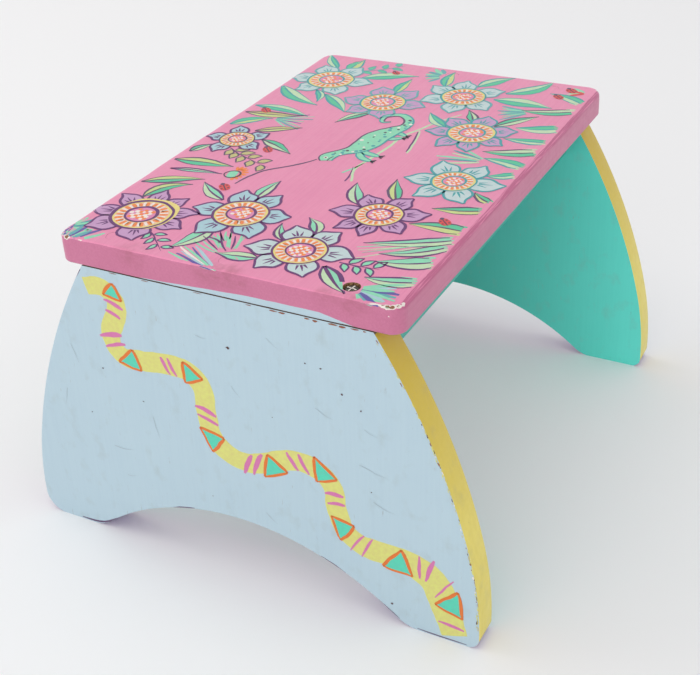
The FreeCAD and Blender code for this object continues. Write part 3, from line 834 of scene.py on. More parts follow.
class Paint(Enum):
    """The artist's acrylics, by the name on the palette."""

    PLUM = "#622F6C"
    GREY_PLUM = "#5B4A66"
    TEAL = "#38A3A6"
    SOFT_TEAL = "#5FAFB0"
    ORANGE = "#F4893C"
    CREAM = "#F4E9DD"
    BLUSH = "#F2C3AC"
    STRAW = "#ECDA80"
    ROSE = "#E48BB2"
    POWDER_BLUE = "#A9CFD5"
    ICE = "#C3D8D6"
    LILAC = "#C79CC4"
    MINT = "#8BDCB4"
    PALE_GREEN = "#C3E0B4"
    GREEN = "#52C898"
    LIME = "#CBDA8A"
    OLIVE = "#C6C07C"
    RED = "#DB4A46"
    LEMON = "#D6D676"
    SEA_GREEN = "#4FD0B0"
    RUST = "#DE7420"
    MAGENTA = "#D074A6"
    INK = "#3C3742"
    VIOLET = "#5C58A2"
    NICK = "#4A3026"
    BARE = "#8A5535"
    WHITE = "#F2F1EC"
    SCUFF = "#98A6A9"


class Tone(Enum):
    """Leaf colours: its left half, its right half and its lines."""

    NEAR = (Paint.PALE_GREEN, Paint.MINT, Paint.PLUM)
    NEAR_DARK = (Paint.MINT, Paint.PALE_GREEN, Paint.PLUM)
    STRAW = (Paint.LIME, Paint.GREEN, Paint.GREY_PLUM)
    FAR = (Paint.PALE_GREEN, Paint.GREEN, Paint.TEAL)
    FAR_TURNED = (Paint.GREEN, Paint.LIME, Paint.TEAL)
    DUSKY = (Paint.GREEN, Paint.PALE_GREEN, Paint.GREY_PLUM)
    OLIVE = (Paint.OLIVE, Paint.LIME, Paint.GREY_PLUM)


class Profile(Enum):
    """How wide a stroke is from start to end, as shares of its full width."""

    LINE = (0.7, 1.0, 0.95, 1.0, 0.6)
    EVEN = (1.0, 1.0, 1.0)
    RING = (1.0, 0.7, 0.85, 1.15, 1.0)
    TAPER = (0.85, 1.0, 0.75, 0.45, 0.1)
    LEAF = (0.12, 0.6, 0.92, 1.0, 0.88, 0.6, 0.28, 0.02)
    BLADE = (0.82, 1.0, 0.92, 0.72, 0.42, 0.04)
    PETAL = (0.62, 0.88, 1.0, 1.0, 0.8, 0.4, 0.16, 0.02)
    DAB = (0.5, 0.95, 1.0, 0.85, 0.45)
    DISC = ()
    RIBBON = (0.8, 0.95, 1.0, 0.95, 1.0, 1.05, 1.0, 1.0, 1.0, 1.0, 0.98, 1.0, 1.15, 1.35, 1.42, 1.2)
    BODY = (0.42, 0.6, 0.42, 0.75, 1.0, 1.0, 0.72, 0.42, 0.34, 0.28, 0.22, 0.14, 0.06)

    def width(self, share: float) -> float:
        """Width at a share of the stroke's length."""
        if self is Profile.DISC:
            return math.sqrt(max(0.0, 1.0 - (2.0 * share - 1.0) ** 2))
        return max(0.0, along(self.value, share))


def along(stops, share: float):
    """A smooth value through evenly spaced stops.

    Args:
        stops: numbers or vectors.
        share: 0 at the first stop and 1 at the last.

    Returns:
        The value there, of the stops' own type.
    """
    last = len(stops) - 1
    place = min(max(share, 0.0), 1.0) * last
    i = min(int(place), last - 1)
    t = place - i
    a, b, c, d = (stops[min(max(k, 0), last)] for k in (i - 1, i, i + 1, i + 2))
    return b + (c - a) * (0.5 * t) + (a * 2 - b * 5 + c * 4 - d) * (0.5 * t * t) + (b * 3 - a - c * 3 + d) * (0.5 * t**3)


def curve(*points: Flat) -> Path:
    """A smooth path through points."""
    stops = [Vector(point) for point in points]
    return lambda share: along(stops, share)


def bowed(start: Flat, stop: Flat, bow: float) -> Path:
    """A path from start to stop that swings out to its left by bow at its middle."""
    first, last = Vector(start), Vector(stop)
    side = Vector((first.y - last.y, last.x - first.x)).normalized() * bow
    return lambda share: first.lerp(last, share) + side * math.sin(math.pi * share)


def circle(centre: Flat, radius: float, start: float = 0.0) -> Path:
    """A closed round path, drawn from an angle in radians."""
    return lambda share: Vector(centre) + Vector((math.cos(start + share * math.tau), math.sin(start + share * math.tau))) * radius


def heading(path: Path, share: float) -> Vector:
    """Direction of a path at a share of its length."""
    step = (path(min(share + 0.01, 1.0)) - path(max(share - 0.01, 0.0)))
    return step.normalized() if step.length > 1e-9 else Vector((1.0, 0.0))


def border(path: Path, half: float, profile: Profile, side: float) -> Path:
    """The outline of a stroke on its left (side 1) or right (side -1)."""

    def outline(share: float) -> Vector:
        """Point of the outline."""
        run = heading(path, share)
        return path(share) + Vector((-run.y, run.x)) * (side * half * profile.width(share))

    return outline


@dataclass(frozen=True)
class Canvas:
    """A painted face: rays find it, so strokes follow its rounded edges and dents."""

    faces: BVHTree
    origin: Vector
    right: Vector
    up: Vector
    outward: Vector

    def place(self, spot: Vector, lift_mm: float) -> Vector:
        """Point over the face in metres.

        Args:
            spot: place on the face in mm, along right and up.
            lift_mm: height of the paint.
        """
        over = self.origin + (self.right * spot.x + self.up * spot.y) * MM
        hit, normal, _, _ = self.faces.ray_cast(over + self.outward * 0.03, -self.outward, 0.06)
        if hit is None:
            hit, normal, _, _ = self.faces.find_nearest(over)
        spot_over = hit + normal * (lift_mm * MM)
        return Vector([min(max(value, low), high) for value, low, high in zip(spot_over, *cad_box)])


ACRYLICS: dict[Paint, bpy.types.Material] = {}


@dataclass
class BrushWork:
    """Strokes of acrylic on one canvas, gathered in one piece."""

    canvas: Canvas
    seed: float = 0.0
    shape: bmesh.types.BMesh = field(default_factory=bmesh.new)
    paints: list[Paint] = field(default_factory=list)

    def slot_of(self, paint: Paint) -> int:
        """Material slot of a paint, made when it is first used."""
        if paint not in self.paints:
            self.paints.append(paint)
        return self.paints.index(paint)

    def unsteady(self, spot: Vector, reach: float) -> Vector:
        """A spot moved as far as a hand wavers."""
        seat = Vector((spot.x * 0.16, spot.y * 0.16, self.seed))
        return spot + Vector((noise.noise(seat), noise.noise(seat + Vector((9.1, 4.3, 2.7))))) * reach

    def stroke(self, path: Path, half: float, paint: Paint, coat: int, profile: Profile = Profile.LINE,
               steps: int = 8, across: int = 1, sides: Flat = (-1.0, 1.0), waver: float = 0.5) -> None:
        """Lay one stroke: a thin raised strip that follows a path.

        Args:
            path: its middle line in mm.
            half: half of its full width in mm.
            paint: its colour.
            coat: how many coats lie below it.
            profile: its width along its length.
            steps: faces along it.
            across: faces across it.
            sides: how much of its right (-1) and left (1) side is laid.
            waver: how far the hand wavers, in mm.
        """
        made = bmesh.ops.create_grid(self.shape, x_segments=steps, y_segments=across, size=1.0)["verts"]
        low = 0.02 + 0.036 * coat
        for vertex in made:
            share = 0.5 - 0.5 * math.cos(math.pi * (vertex.co.x + 1.0) / 2.0)
            if profile in (Profile.EVEN, Profile.RING, Profile.RIBBON, Profile.BODY):
                share = (vertex.co.x + 1.0) / 2.0
            side = sides[0] + (sides[1] - sides[0]) * (vertex.co.y + 1.0) / 2.0
            run = heading(path, share)
            spot = path(share) + Vector((-run.y, run.x)) * (side * half * profile.width(share))
            lift = low + 0.015 * (1.0 - side * side)
            vertex.co = self.canvas.place(self.unsteady(spot, waver), lift)
        index = self.slot_of(paint)
        for face in {face for vertex in made for face in vertex.link_faces}:
            face.material_index = index

    def patch(self, corners: list[Flat], paint: Paint, coat: int) -> None:
        """Fill a small shape with straight sides."""
        made = bmesh.ops.create_circle(self.shape, cap_ends=True, segments=len(corners), radius=1.0)["verts"]
        turned = sorted(made, key=lambda v: math.atan2(v.co.y, v.co.x))
        middle = sum((Vector(c) for c in corners), Vector((0.0, 0.0))) / len(corners)
        ordered = sorted(corners, key=lambda c: math.atan2(c[1] - middle.y, c[0] - middle.x))
        for vertex, corner in zip(turned, ordered):
            vertex.co = self.canvas.place(Vector(corner), 0.03 + 0.036 * coat)
        index = self.slot_of(paint)
        for face in {face for vertex in made for face in vertex.link_faces}:
            face.material_index = index

    def dot(self, centre: Flat, radius: float, paint: Paint, coat: int, steps: int = 6) -> None:
        """A round spot of paint."""
        x, y = centre
        self.stroke(curve((x - radius, y), (x + radius, y)), radius, paint, coat, Profile.DISC, steps, 2)

    def speck(self, centre: Flat, reach: float, paint: Paint, coat: int, stretch: float = 1.0, turn: float = 0.0) -> None:
        """A torn speck, as a chip or nick leaves."""
        dice = random.Random(f"{centre}{reach}{self.seed}")
        corners = []
        for k in range(8):
            angle = math.tau * k / 8
            far = reach * dice.uniform(0.45, 1.0)
            x, y = far * stretch * math.cos(angle), far * math.sin(angle)
            corners.append((centre[0] + x * math.cos(turn) - y * math.sin(turn), centre[1] + x * math.sin(turn) + y * math.cos(turn)))
        self.patch(corners, paint, coat)

    def finish(self, name: str, slot: str) -> bpy.types.Object:
        """Make the piece and hang it on the stool."""
        bmesh.ops.remove_doubles(self.shape, verts=self.shape.verts[:], dist=1e-7)
        for face in self.shape.faces:
            face.normal_update()
            if face.normal.dot(self.canvas.outward) < 0:
                face.normal_flip()
        piece = finished_object(name, self.shape, [ACRYLICS[paint] for paint in self.paints], 60.0)
        add_to_stool(piece, slot)
        return piece


@dataclass(frozen=True)
class Flower:
    """A folk flower: ogee petals round a sun of orange and cream dashes."""

    x: float
    y: float
    ring: float
    reach: float
    angles: tuple[float, ...]
    petal: Paint
    line: Paint
    ring_line: Paint
    seed: int
    heavy: float = 0.75

    def paint_petals(self, work: BrushWork) -> None:
        """Fill, outline and vein each petal."""
        middle = Vector((self.x, self.y))
        dice = random.Random(self.seed)
        order = sorted(self.angles)
        for i, degrees in enumerate(order):
            before, after = order[i - 1] - (360 if i == 0 else 0), order[(i + 1) % len(order)] + (360 if i == len(order) - 1 else 0)
            gap = math.radians(min(after - before, 118) / 2)
            angle = math.radians(degrees)
            out = Vector((math.cos(angle), math.sin(angle)))
            side = Vector((-out.y, out.x))
            reach = self.reach * dice.uniform(0.95, 1.05)
            half = min(0.36 * gap * (self.ring + reach) / 2, 9.6) * dice.uniform(0.94, 1.04)
            lean = dice.uniform(-1.6, 1.6)
            start = middle + out * self.ring * 0.82
            path = curve(start, start.lerp(middle + out * reach, 0.55) - side * lean * 0.5, middle + out * reach + side * lean)
            work.stroke(path, half, self.petal, 3, Profile.PETAL, 14, 2)
            for edge in (-1.0, 1.0):
                work.stroke(border(path, half, Profile.PETAL, edge), 0.88 + 0.1 * edge * (i % 2), self.line, 4, Profile.LINE, 16)
            for turn, share in ((-0.42, 0.34), (0.02, 0.46), (0.4, 0.3)):
                root = middle + out * (self.ring + 2.0) + side * turn * 4.0
                tip = root + (out + side * turn * 0.9).normalized() * (reach - self.ring) * share
                work.stroke(curve(root, tip), 0.78, self.line, 4, Profile.TAPER, 4)

    def paint_sun(self, work: BrushWork) -> None:
        """Lay the yellow disc, its dashes, both drawn rings and the dotted heart."""
        centre = (self.x, self.y)
        middle = Vector(centre)
        dice = random.Random(self.seed + 50)
        halo = (self.x + 2.0, self.y - 0.8) if self.heavy > 1 else centre
        work.dot(halo, self.ring + (1.4 if self.heavy > 1 else 0.0), Paint.STRAW, 5, 26)
        work.stroke(circle(centre, self.ring + 0.2, 2.4), self.heavy, self.ring_line, 7, Profile.RING, 52)
        work.stroke(circle(centre, self.ring * 0.73), self.ring * 0.15, Paint.BLUSH, 6, Profile.EVEN, 44)
        count = 20
        for i in range(count):
            for paint, offset, width in ((Paint.ORANGE, 0.0, 0.31), (Paint.CREAM, 0.5, 0.24)):
                angle = math.tau * (i + offset + dice.uniform(-0.1, 0.1)) / count
                out = Vector((math.cos(angle), math.sin(angle)))
                near, far = self.ring * dice.uniform(0.58, 0.63), self.ring * dice.uniform(0.85, 0.9)
                pitch = math.tau * self.ring * 0.735 / count
                work.stroke(curve(middle + out * near, middle + out * far), pitch * width * dice.uniform(0.85, 1.1), paint, 7, Profile.DAB, 3, waver=0.2)
        off = Vector((dice.uniform(-0.03, 0.03), dice.uniform(-0.03, 0.03))) * self.ring
        heart = middle + off
        work.dot(tuple(heart), self.ring * 0.5, Paint.ROSE, 7, 18)
        work.stroke(circle(tuple(heart), self.ring * 0.53, 1.0), self.heavy * 0.95, self.ring_line, 8, Profile.RING, 40)
        for row in range(-3, 4):
            for column in range(-3, 4):
                spot = Vector((column, row)) * self.ring * 0.135 + Vector((dice.uniform(-0.5, 0.5), dice.uniform(-0.5, 0.5)))
                if spot.length > self.ring * 0.41 or dice.random() < 0.12:
                    continue
                paint = Paint.CREAM if (row + column) % 2 else Paint.ORANGE
                work.dot(tuple(heart + spot), self.ring * dice.uniform(0.068, 0.088), paint, 8, 4)

    def paint(self, work: BrushWork) -> None:
        """Paint the whole flower."""
        self.paint_petals(work)
        self.paint_sun(work)


@dataclass(frozen=True)
class Leaf:
    """A leaf in two tones with a drawn rib and edges."""

    start: Flat
    tip: Flat
    half: float
    bow: float
    tone: Tone
    profile: Profile = Profile.LEAF
    line_half: float = 0.5

    def paint(self, work: BrushWork) -> None:
        """Lay both halves, then the rib and the edges."""
        left, right, line = self.tone.value
        path = bowed(self.start, self.tip, self.bow)
        work.stroke(path, self.half, left, 0, self.profile, 12, 2, (0.0, 1.0))
        work.stroke(path, self.half, right, 0, self.profile, 12, 2, (-1.0, 0.0))
        work.stroke(path, self.line_half * 1.5, line, 1, Profile.TAPER, 9)
        heavy = 1.0 if (int(self.tip[0]) + int(self.tip[1])) % 2 else -1.0
        work.stroke(border(path, self.half, self.profile, heavy), self.line_half * 1.75, line, 1, Profile.DAB, 12)
        work.stroke(border(path, self.half, self.profile, -heavy), self.line_half, line, 1, Profile.TAPER, 12)
        if self.profile is Profile.BLADE:
            self.fray(work, left, right)

    def fray(self, work: BrushWork, left: Paint, right: Paint) -> None:
        """Drag bristle ends out of a blade's foot."""
        dice = random.Random(self.start[0] * 7 + self.tip[0])
        foot, tip = Vector(self.start), Vector(self.tip)
        run = (tip - foot).normalized()
        side = Vector((-run.y, run.x))
        for k in range(5):
            share = (k - 2) / 2.3
            root = foot + side * share * self.half - run * dice.uniform(0.2, 2.6)
            work.stroke(curve(root, root + run * dice.uniform(6.0, 11.0)), self.half * 0.2, left if share > 0 else right, 0, Profile.DAB, 4)


@dataclass(frozen=True)
class Fan:
    """Loose strokes that spread from a point, as fern or grass."""

    x: float
    y: float
    first: float
    last: float
    near: float
    far: float
    count: int
    paints: tuple[Paint, ...]
    half: float = 0.8

    def paint(self, work: BrushWork) -> None:
        """Flick each stroke outward."""
        dice = random.Random(self.x * 3 + self.y)
        for i in range(self.count):
            angle = math.radians(self.first + (self.last - self.first) * (i + dice.uniform(-0.2, 0.2)) / max(1, self.count - 1))
            out = Vector((math.cos(angle), math.sin(angle)))
            near, far = self.near * dice.uniform(0.8, 1.2), self.far * dice.uniform(0.85, 1.08)
            centre = Vector((self.x, self.y))
            work.stroke(bowed(centre + out * near, centre + out * far, dice.uniform(-1.0, 1.0)), self.half * dice.uniform(0.8, 1.2),
                        self.paints[i % len(self.paints)], i % 3, Profile.DAB, 6)


@dataclass(frozen=True)
class Sprig:
    """A stem with paired leaflets."""

    points: tuple[Flat, ...]
    leaflets: int
    size: float
    fill: Paint
    line: Paint
    plump: float = 0.24

    def paint(self, work: BrushWork) -> None:
        """Draw the leaflets along the stem, then the stem."""
        path = curve(*self.points)
        for i in range(self.leaflets):
            share = 0.12 + 0.82 * i / self.leaflets
            run = heading(path, share)
            side = Vector((-run.y, run.x)) * (1.0 if i % 2 else -1.0)
            root = path(share) + side * 0.8
            tip = root + (side * 0.85 + run * 0.55) * self.size
            leaf = bowed(tuple(root), tuple(tip), 0.8)
            half = self.size * self.plump
            work.stroke(leaf, half, self.fill, 0, Profile.LEAF, 8, 2)
            for edge in (-1.0, 1.0):
                work.stroke(border(leaf, half, Profile.LEAF, edge), 0.62, self.line, 1, Profile.LINE, 8)
        work.stroke(path, 0.55, self.line, 2, Profile.TAPER, 14)


FLOWERS = (
    Flower(-132, 82, 19.2, 36, (94, 53, 9, -26, -65, -102, -156, 138), Paint.LILAC, Paint.PLUM, Paint.PLUM, 1, 1.15),
    Flower(-107.5, 25, 17.3, 34, (94, 26, -19, -78, -138, 159), Paint.POWDER_BLUE, Paint.PLUM, Paint.PLUM, 2, 0.85),
    Flower(-136, -33, 16.2, 33.5, (102, 33, -21, -82, -148, 152), Paint.ICE, Paint.PLUM, Paint.PLUM, 3),
    Flower(-77, -55, 15.0, 31, (98, 41, -19, -69, -127, -177, 147), Paint.LILAC, Paint.PLUM, Paint.PLUM, 4),
    Flower(-16, -78, 14.2, 33, (100, 37, -22, -83, -148, 154), Paint.ICE, Paint.TEAL, Paint.TEAL, 5),
    Flower(61.5, -58, 16.7, 32, (102, 52, -2, -65, -117, -164, 154), Paint.LILAC, Paint.TEAL, Paint.TEAL, 6),
    Flower(123, -26, 16.3, 34, (67, 18, -48, -125, -177, 124), Paint.ICE, Paint.SOFT_TEAL, Paint.TEAL, 7),
    Flower(92, 25, 16.6, 32.5, (94, 26, -27, -85, -158, 148), Paint.LILAC, Paint.SOFT_TEAL, Paint.TEAL, 8),
    Flower(121, 84, 17.6, 33.5, (96, 35, -20, -84, -145, 153), Paint.ICE, Paint.SOFT_TEAL, Paint.TEAL, 9),
    Flower(-7, 90, 12.2, 24.5, (94, 25, -45, -115, 166), Paint.POWDER_BLUE, Paint.PLUM, Paint.GREY_PLUM, 10, 0.6),
)

LEAVES = (
    ((-110, 97), (-82, 77), 4.6, 6, Tone.STRAW), ((-91, 112), (-72, 74), 4.4, 2, Tone.STRAW), ((-66, 106), (-61, 68), 2.4, 1, Tone.NEAR),
    ((-52, 112), (-48.5, 67), 5.2, 1, Tone.STRAW), ((-37, 110), (-20, 101), 3.4, 1, Tone.DUSKY), ((-95, 46), (-76, 72), 4.2, 2, Tone.NEAR),
    ((-131, 30), (-162, 41), 5.6, 2, Tone.NEAR), ((-86, 28), (-56, 26), 4.2, 1, Tone.NEAR_DARK), ((-153, -15), (-157, 12), 4.8, 1, Tone.NEAR_DARK),
    ((-129, -17), (-109, -6), 3.0, 2, Tone.NEAR), ((-115, -31), (-96, -17), 3.8, -3, Tone.NEAR_DARK), ((-147, -55), (-171, -80), 5.0, -1, Tone.NEAR_DARK),
    ((-69, -37), (-40, -21.5), 4.6, 2, Tone.NEAR), ((-57, -57), (-26, -43), 4.0, 1, Tone.STRAW), ((-1, 73), (-16, 42), 4.2, 1, Tone.DUSKY),
    ((11, 86), (27.5, 57), 3.8, 1, Tone.OLIVE), ((15, 110), (36, 86), 4.6, 3, Tone.FAR_TURNED), ((40, 112), (48, 67), 4.4, -2, Tone.OLIVE),
    ((54, 112), (48, 64), 4.4, 4, Tone.FAR), ((97, 113), (70, 68), 5.4, -4, Tone.FAR), ((98, 84), (76, 72), 2.8, 3, Tone.FAR),
    ((92, 73), (65, 43), 4.6, 2, Tone.FAR), ((72, 24), (45, 40.5), 3.8, -2, Tone.DUSKY), ((112, 25), (144, 25), 3.8, 1, Tone.FAR_TURNED),
    ((146, 91), (174, 112), 3.6, 2, Tone.FAR), ((145, 81), (171, 79), 5.2, 1, Tone.FAR_TURNED), ((133, 63), (151, 23), 6.2, 3, Tone.FAR),
    ((138, -5), (169, 0), 4.2, 2, Tone.FAR_TURNED), ((146, -28), (173, -48), 5.4, 2, Tone.FAR), ((140, -53), (175, -78), 6.0, -5, Tone.FAR),
    ((126, -49), (124, -94), 6.6, 2, Tone.FAR), ((65, -37), (86, -16), 4.0, 2, Tone.FAR), ((80, -51), (100, -40), 3.4, -1, Tone.DUSKY),
    ((78, -68), (106, -91), 4.4, 1, Tone.DUSKY),
)

BLADES = (
    (-146, -150, -82, 5.6, 2), (-121, -131, -80, 7.0, 2), (-102, -122, -77, 5.0, 3), (-92, -113.5, -63, 5.0, 2), (-78, -81, -77, 6.2, -1),
    (-50, -57, -81, 5.0, 1), (-36, -26, -97, 3.6, 1), (6, -1, -94, 4.4, 1), (21, 25, -82, 5.4, -1), (45, 35, -77, 6.0, 2),
    (63, 61, -82, 4.6, 1), (88, 81, -83, 6.4, 2), (122, 113, -75, 5.4, 3), (141, 151, -83, 5.2, -2),
)

FANS = (
    Fan(36, 86, -125, -55, 3, 28, 8, (Paint.MINT, Paint.SOFT_TEAL, Paint.MINT, Paint.VIOLET)),
    Fan(20, -88, 62, 112, 8, 34, 6, (Paint.MINT, Paint.TEAL, Paint.PALE_GREEN), 1.3),
    Fan(112, -84, 80, 142, 6, 25, 7, (Paint.SOFT_TEAL, Paint.MINT), 1.4),
    Fan(158, 4, 30, 150, 5, 18, 7, (Paint.SOFT_TEAL, Paint.MINT), 2.0),
    Fan(-162, 0, 12, 68, 14, 34, 11, (Paint.MINT, Paint.MINT, Paint.PLUM), 0.7),
    Fan(-146, 12, 20, 84, 4, 17, 7, (Paint.MINT, Paint.MINT, Paint.PLUM), 0.65),
    Fan(-182, -8, 52, 72, 12, 48, 7, (Paint.POWDER_BLUE, Paint.VIOLET, Paint.MINT, Paint.CREAM), 1.0),
    Fan(-186, 108, -38, 22, 12, 30, 9, (Paint.MINT, Paint.VIOLET, Paint.SOFT_TEAL), 1.5),
    Fan(-163, 116, -80, -20, 4, 18, 5, (Paint.MINT, Paint.TEAL), 1.5),
    Fan(-163, -82, -138, -62, 6, 27, 11, (Paint.MINT, Paint.SOFT_TEAL, Paint.VIOLET, Paint.MINT, Paint.POWDER_BLUE), 1.6),
    Fan(-98, -104, 116, 132, 8, 48, 4, (Paint.MINT, Paint.PALE_GREEN), 0.6),
    Fan(160, -108, 60, 130, 2, 14, 6, (Paint.MINT, Paint.PALE_GREEN, Paint.RED), 1.6),
)

SPRIGS = (
    Sprig(((-149, 64), (-157, 54), (-168, 43)), 6, 8.5, Paint.MINT, Paint.PLUM),
    Sprig(((-140, -61), (-140, -74), (-139, -86)), 6, 10.0, Paint.MINT, Paint.PLUM),
    Sprig(((-22, 86), (-31, 70), (-41, 45)), 9, 10.0, Paint.OLIVE, Paint.GREY_PLUM, 0.32),
    Sprig(((146, 72), (156, 56), (170, 42)), 6, 10.0, Paint.GREEN, Paint.SOFT_TEAL),
)

BEETLES = ((-78, 55.5, 4.6), (-15, 60.5, 4.2), (-71, -96, 4.4), (152, 43, 3.6), (48, 99, 4.4), (147, -91, 4.2), (162, -96, 4.6))


@dataclass(frozen=True)
class Lizard:
    """A plain spotted lizard on a twig."""

    spine: tuple[Flat, ...] = ((-17, 14), (-10, 16), (-1, 11), (8, 4), (20, 1), (33, 0), (45, -5), (56, -10), (67, -8), (74, 1), (68, 11), (58, 9), (60, 3))
    half: float = 9.5
    legs: tuple[tuple[Flat, Flat, Flat], ...] = (
        ((4, 0), (-4, -6), (-7, -14)), ((10, 4), (4, -6), (2, -16)), ((36, -2), (43, -10), (40, -18)), ((34, 0), (32, -10), (36, -17)),
    )

    def paint(self, work: BrushWork) -> None:
        """Paint the twig, the legs, the body with its spots, and the eye."""
        work.stroke(curve((-40, -17), (-22, -10), (-5, -12), (20, -15), (40, -16), (55, -22), (70, -27), (90, -38)), 1.1, Paint.PALE_GREEN, 0, Profile.LINE, 26)
        work.stroke(curve((-30, -5), (-20, -9), (-10, -12)), 0.9, Paint.MINT, 0, Profile.TAPER, 6)
        work.stroke(curve((-41, -13), (-30, -11), (-18, -7)), 0.6, Paint.PLUM, 1, Profile.TAPER, 8)
        work.stroke(curve((14, -31), (32, -28), (52, -23)), 1.0, Paint.PALE_GREEN, 0, Profile.LINE, 10)
        work.stroke(curve((16, -29.5), (32, -27), (50, -22.5)), 0.6, Paint.PLUM, 1, Profile.LINE, 10)
        for leg in self.legs:
            path = curve(*leg)
            work.stroke(path, 2.6, Paint.MINT, 2, Profile.DAB, 8)
            for edge in (-1.0, 1.0):
                work.stroke(border(path, 2.6, Profile.DAB, edge), 0.6, Paint.TEAL, 3, Profile.LINE, 8)
            toe = Vector(leg[-1])
            for turn in (-1.0, 0.0, 1.0):
                work.stroke(curve(toe, toe + Vector((turn * 2.6, -3.2))), 0.8, Paint.INK, 4, Profile.DAB, 3)
        body = curve(*self.spine)
        work.stroke(body, self.half, Paint.MINT, 3, Profile.BODY, 56, 3)
        for edge, line in ((1.0, Paint.GREY_PLUM), (-1.0, Paint.TEAL)):
            work.stroke(border(body, self.half, Profile.BODY, edge), 0.7, line, 4, Profile.LINE, 56)
        dice = random.Random(12)
        for i in range(34):
            share = 0.12 + 0.56 * i / 34
            run = heading(body, share)
            reach = dice.uniform(-0.72, 0.72) * self.half * Profile.BODY.width(share)
            spot = body(share) + Vector((-run.y, run.x)) * reach
            paint = (Paint.TEAL, Paint.INK, Paint.CREAM, Paint.TEAL)[i % 4]
            work.dot(tuple(spot), dice.uniform(0.7, 1.5), paint, 4, 4)
        work.dot((-12.5, 16.5), 1.5, Paint.CREAM, 5)
        work.dot((-12.5, 16.5), 0.8, Paint.INK, 6)
        work.stroke(curve((-17, 13.2), (-13, 13.4), (-9, 12.4)), 0.45, Paint.INK, 4, Profile.LINE, 6)


@dataclass(frozen=True)
class SeatPicture:
    """Everything that is painted on top of the seat."""

    canvas: Canvas

    def paint_beetle(self, work: BrushWork, x: float, y: float, size: float) -> None:
        """A red beetle with dark spots."""
        path = curve((x - size * 0.8, y - size * 0.8), (x + size * 0.8, y + size * 0.8))
        work.stroke(path, size * 0.8, Paint.RED, 3, Profile.DISC, 8, 2)
        work.stroke(path, 0.4, Paint.INK, 4, Profile.LINE, 5)
        work.dot((x + size * 0.75, y + size * 0.75), size * 0.34, Paint.GREY_PLUM, 4)
        for side, shift in ((1, -0.3), (-1, -0.3), (1, 0.3), (-1, 0.3)):
            work.dot((x + size * (shift - 0.33 * side), y + size * (shift + 0.33 * side)), size * 0.15, Paint.INK, 4, 4)

    def build(self) -> list[bpy.types.Object]:
        """Paint greenery, beetles, the lizard and the flowers, as a few pieces."""
        made = []
        greenery = BrushWork(self.canvas, 1.0)
        for start, tip, half, bow, tone in LEAVES:
            Leaf(start, tip, half * 1.12, bow, tone, Profile.LEAF, 0.85 if start == (-147, -55) else 0.5).paint(greenery)
        for foot, tip_x, tip_y, half, bow in BLADES:
            tone = Tone.NEAR if foot < -90 else Tone.STRAW if foot < 0 else Tone.DUSKY if foot in (45, 122) else Tone.FAR
            Leaf((foot, -109), (tip_x, tip_y), half, bow, tone, Profile.BLADE).paint(greenery)
        made.append(greenery.finish("painted_leaves", "seat_paint"))
        ferns = BrushWork(self.canvas, 2.0)
        for item in FANS + SPRIGS:
            item.paint(ferns)
        for k in range(9):
            angle = math.radians(200 + 24 * k)
            root = Vector((-57, 60)) + Vector((math.cos(angle) * 5, math.sin(angle) * 3))
            ferns.stroke(curve(root, root + Vector((math.cos(angle) * 6, math.sin(angle) * 5))), 1.3, Paint.ORANGE, 0, Profile.DAB, 5)
        ferns.stroke(curve((-65, 60), (-53, 63)), 3.4, Paint.MINT, 2, Profile.DISC, 10, 2)
        ferns.stroke(circle((-59, 61.5), 5.4), 0.6, Paint.INK, 3, Profile.RING, 20)
        ferns.stroke(curve((-71, 52), (-58, 49.5), (-45, 44), (-34, 33), (-24, 25), (-17, 21)), 0.8, Paint.GREY_PLUM, 1, Profile.LINE, 24)
        for x, y, size in BEETLES:
            self.paint_beetle(ferns, x, y, size)
        made.append(ferns.finish("painted_sprigs_and_beetles", "seat_paint"))
        animal = BrushWork(self.canvas, 3.0)
        Lizard().paint(animal)
        made.append(animal.finish("painted_lizard", "seat_paint"))
        for flower in FLOWERS:
            work = BrushWork(self.canvas, 10.0 + flower.seed)
            flower.paint(work)
            made.append(work.finish(f"painted_flower_{flower.seed}", "seat_paint"))
        return made


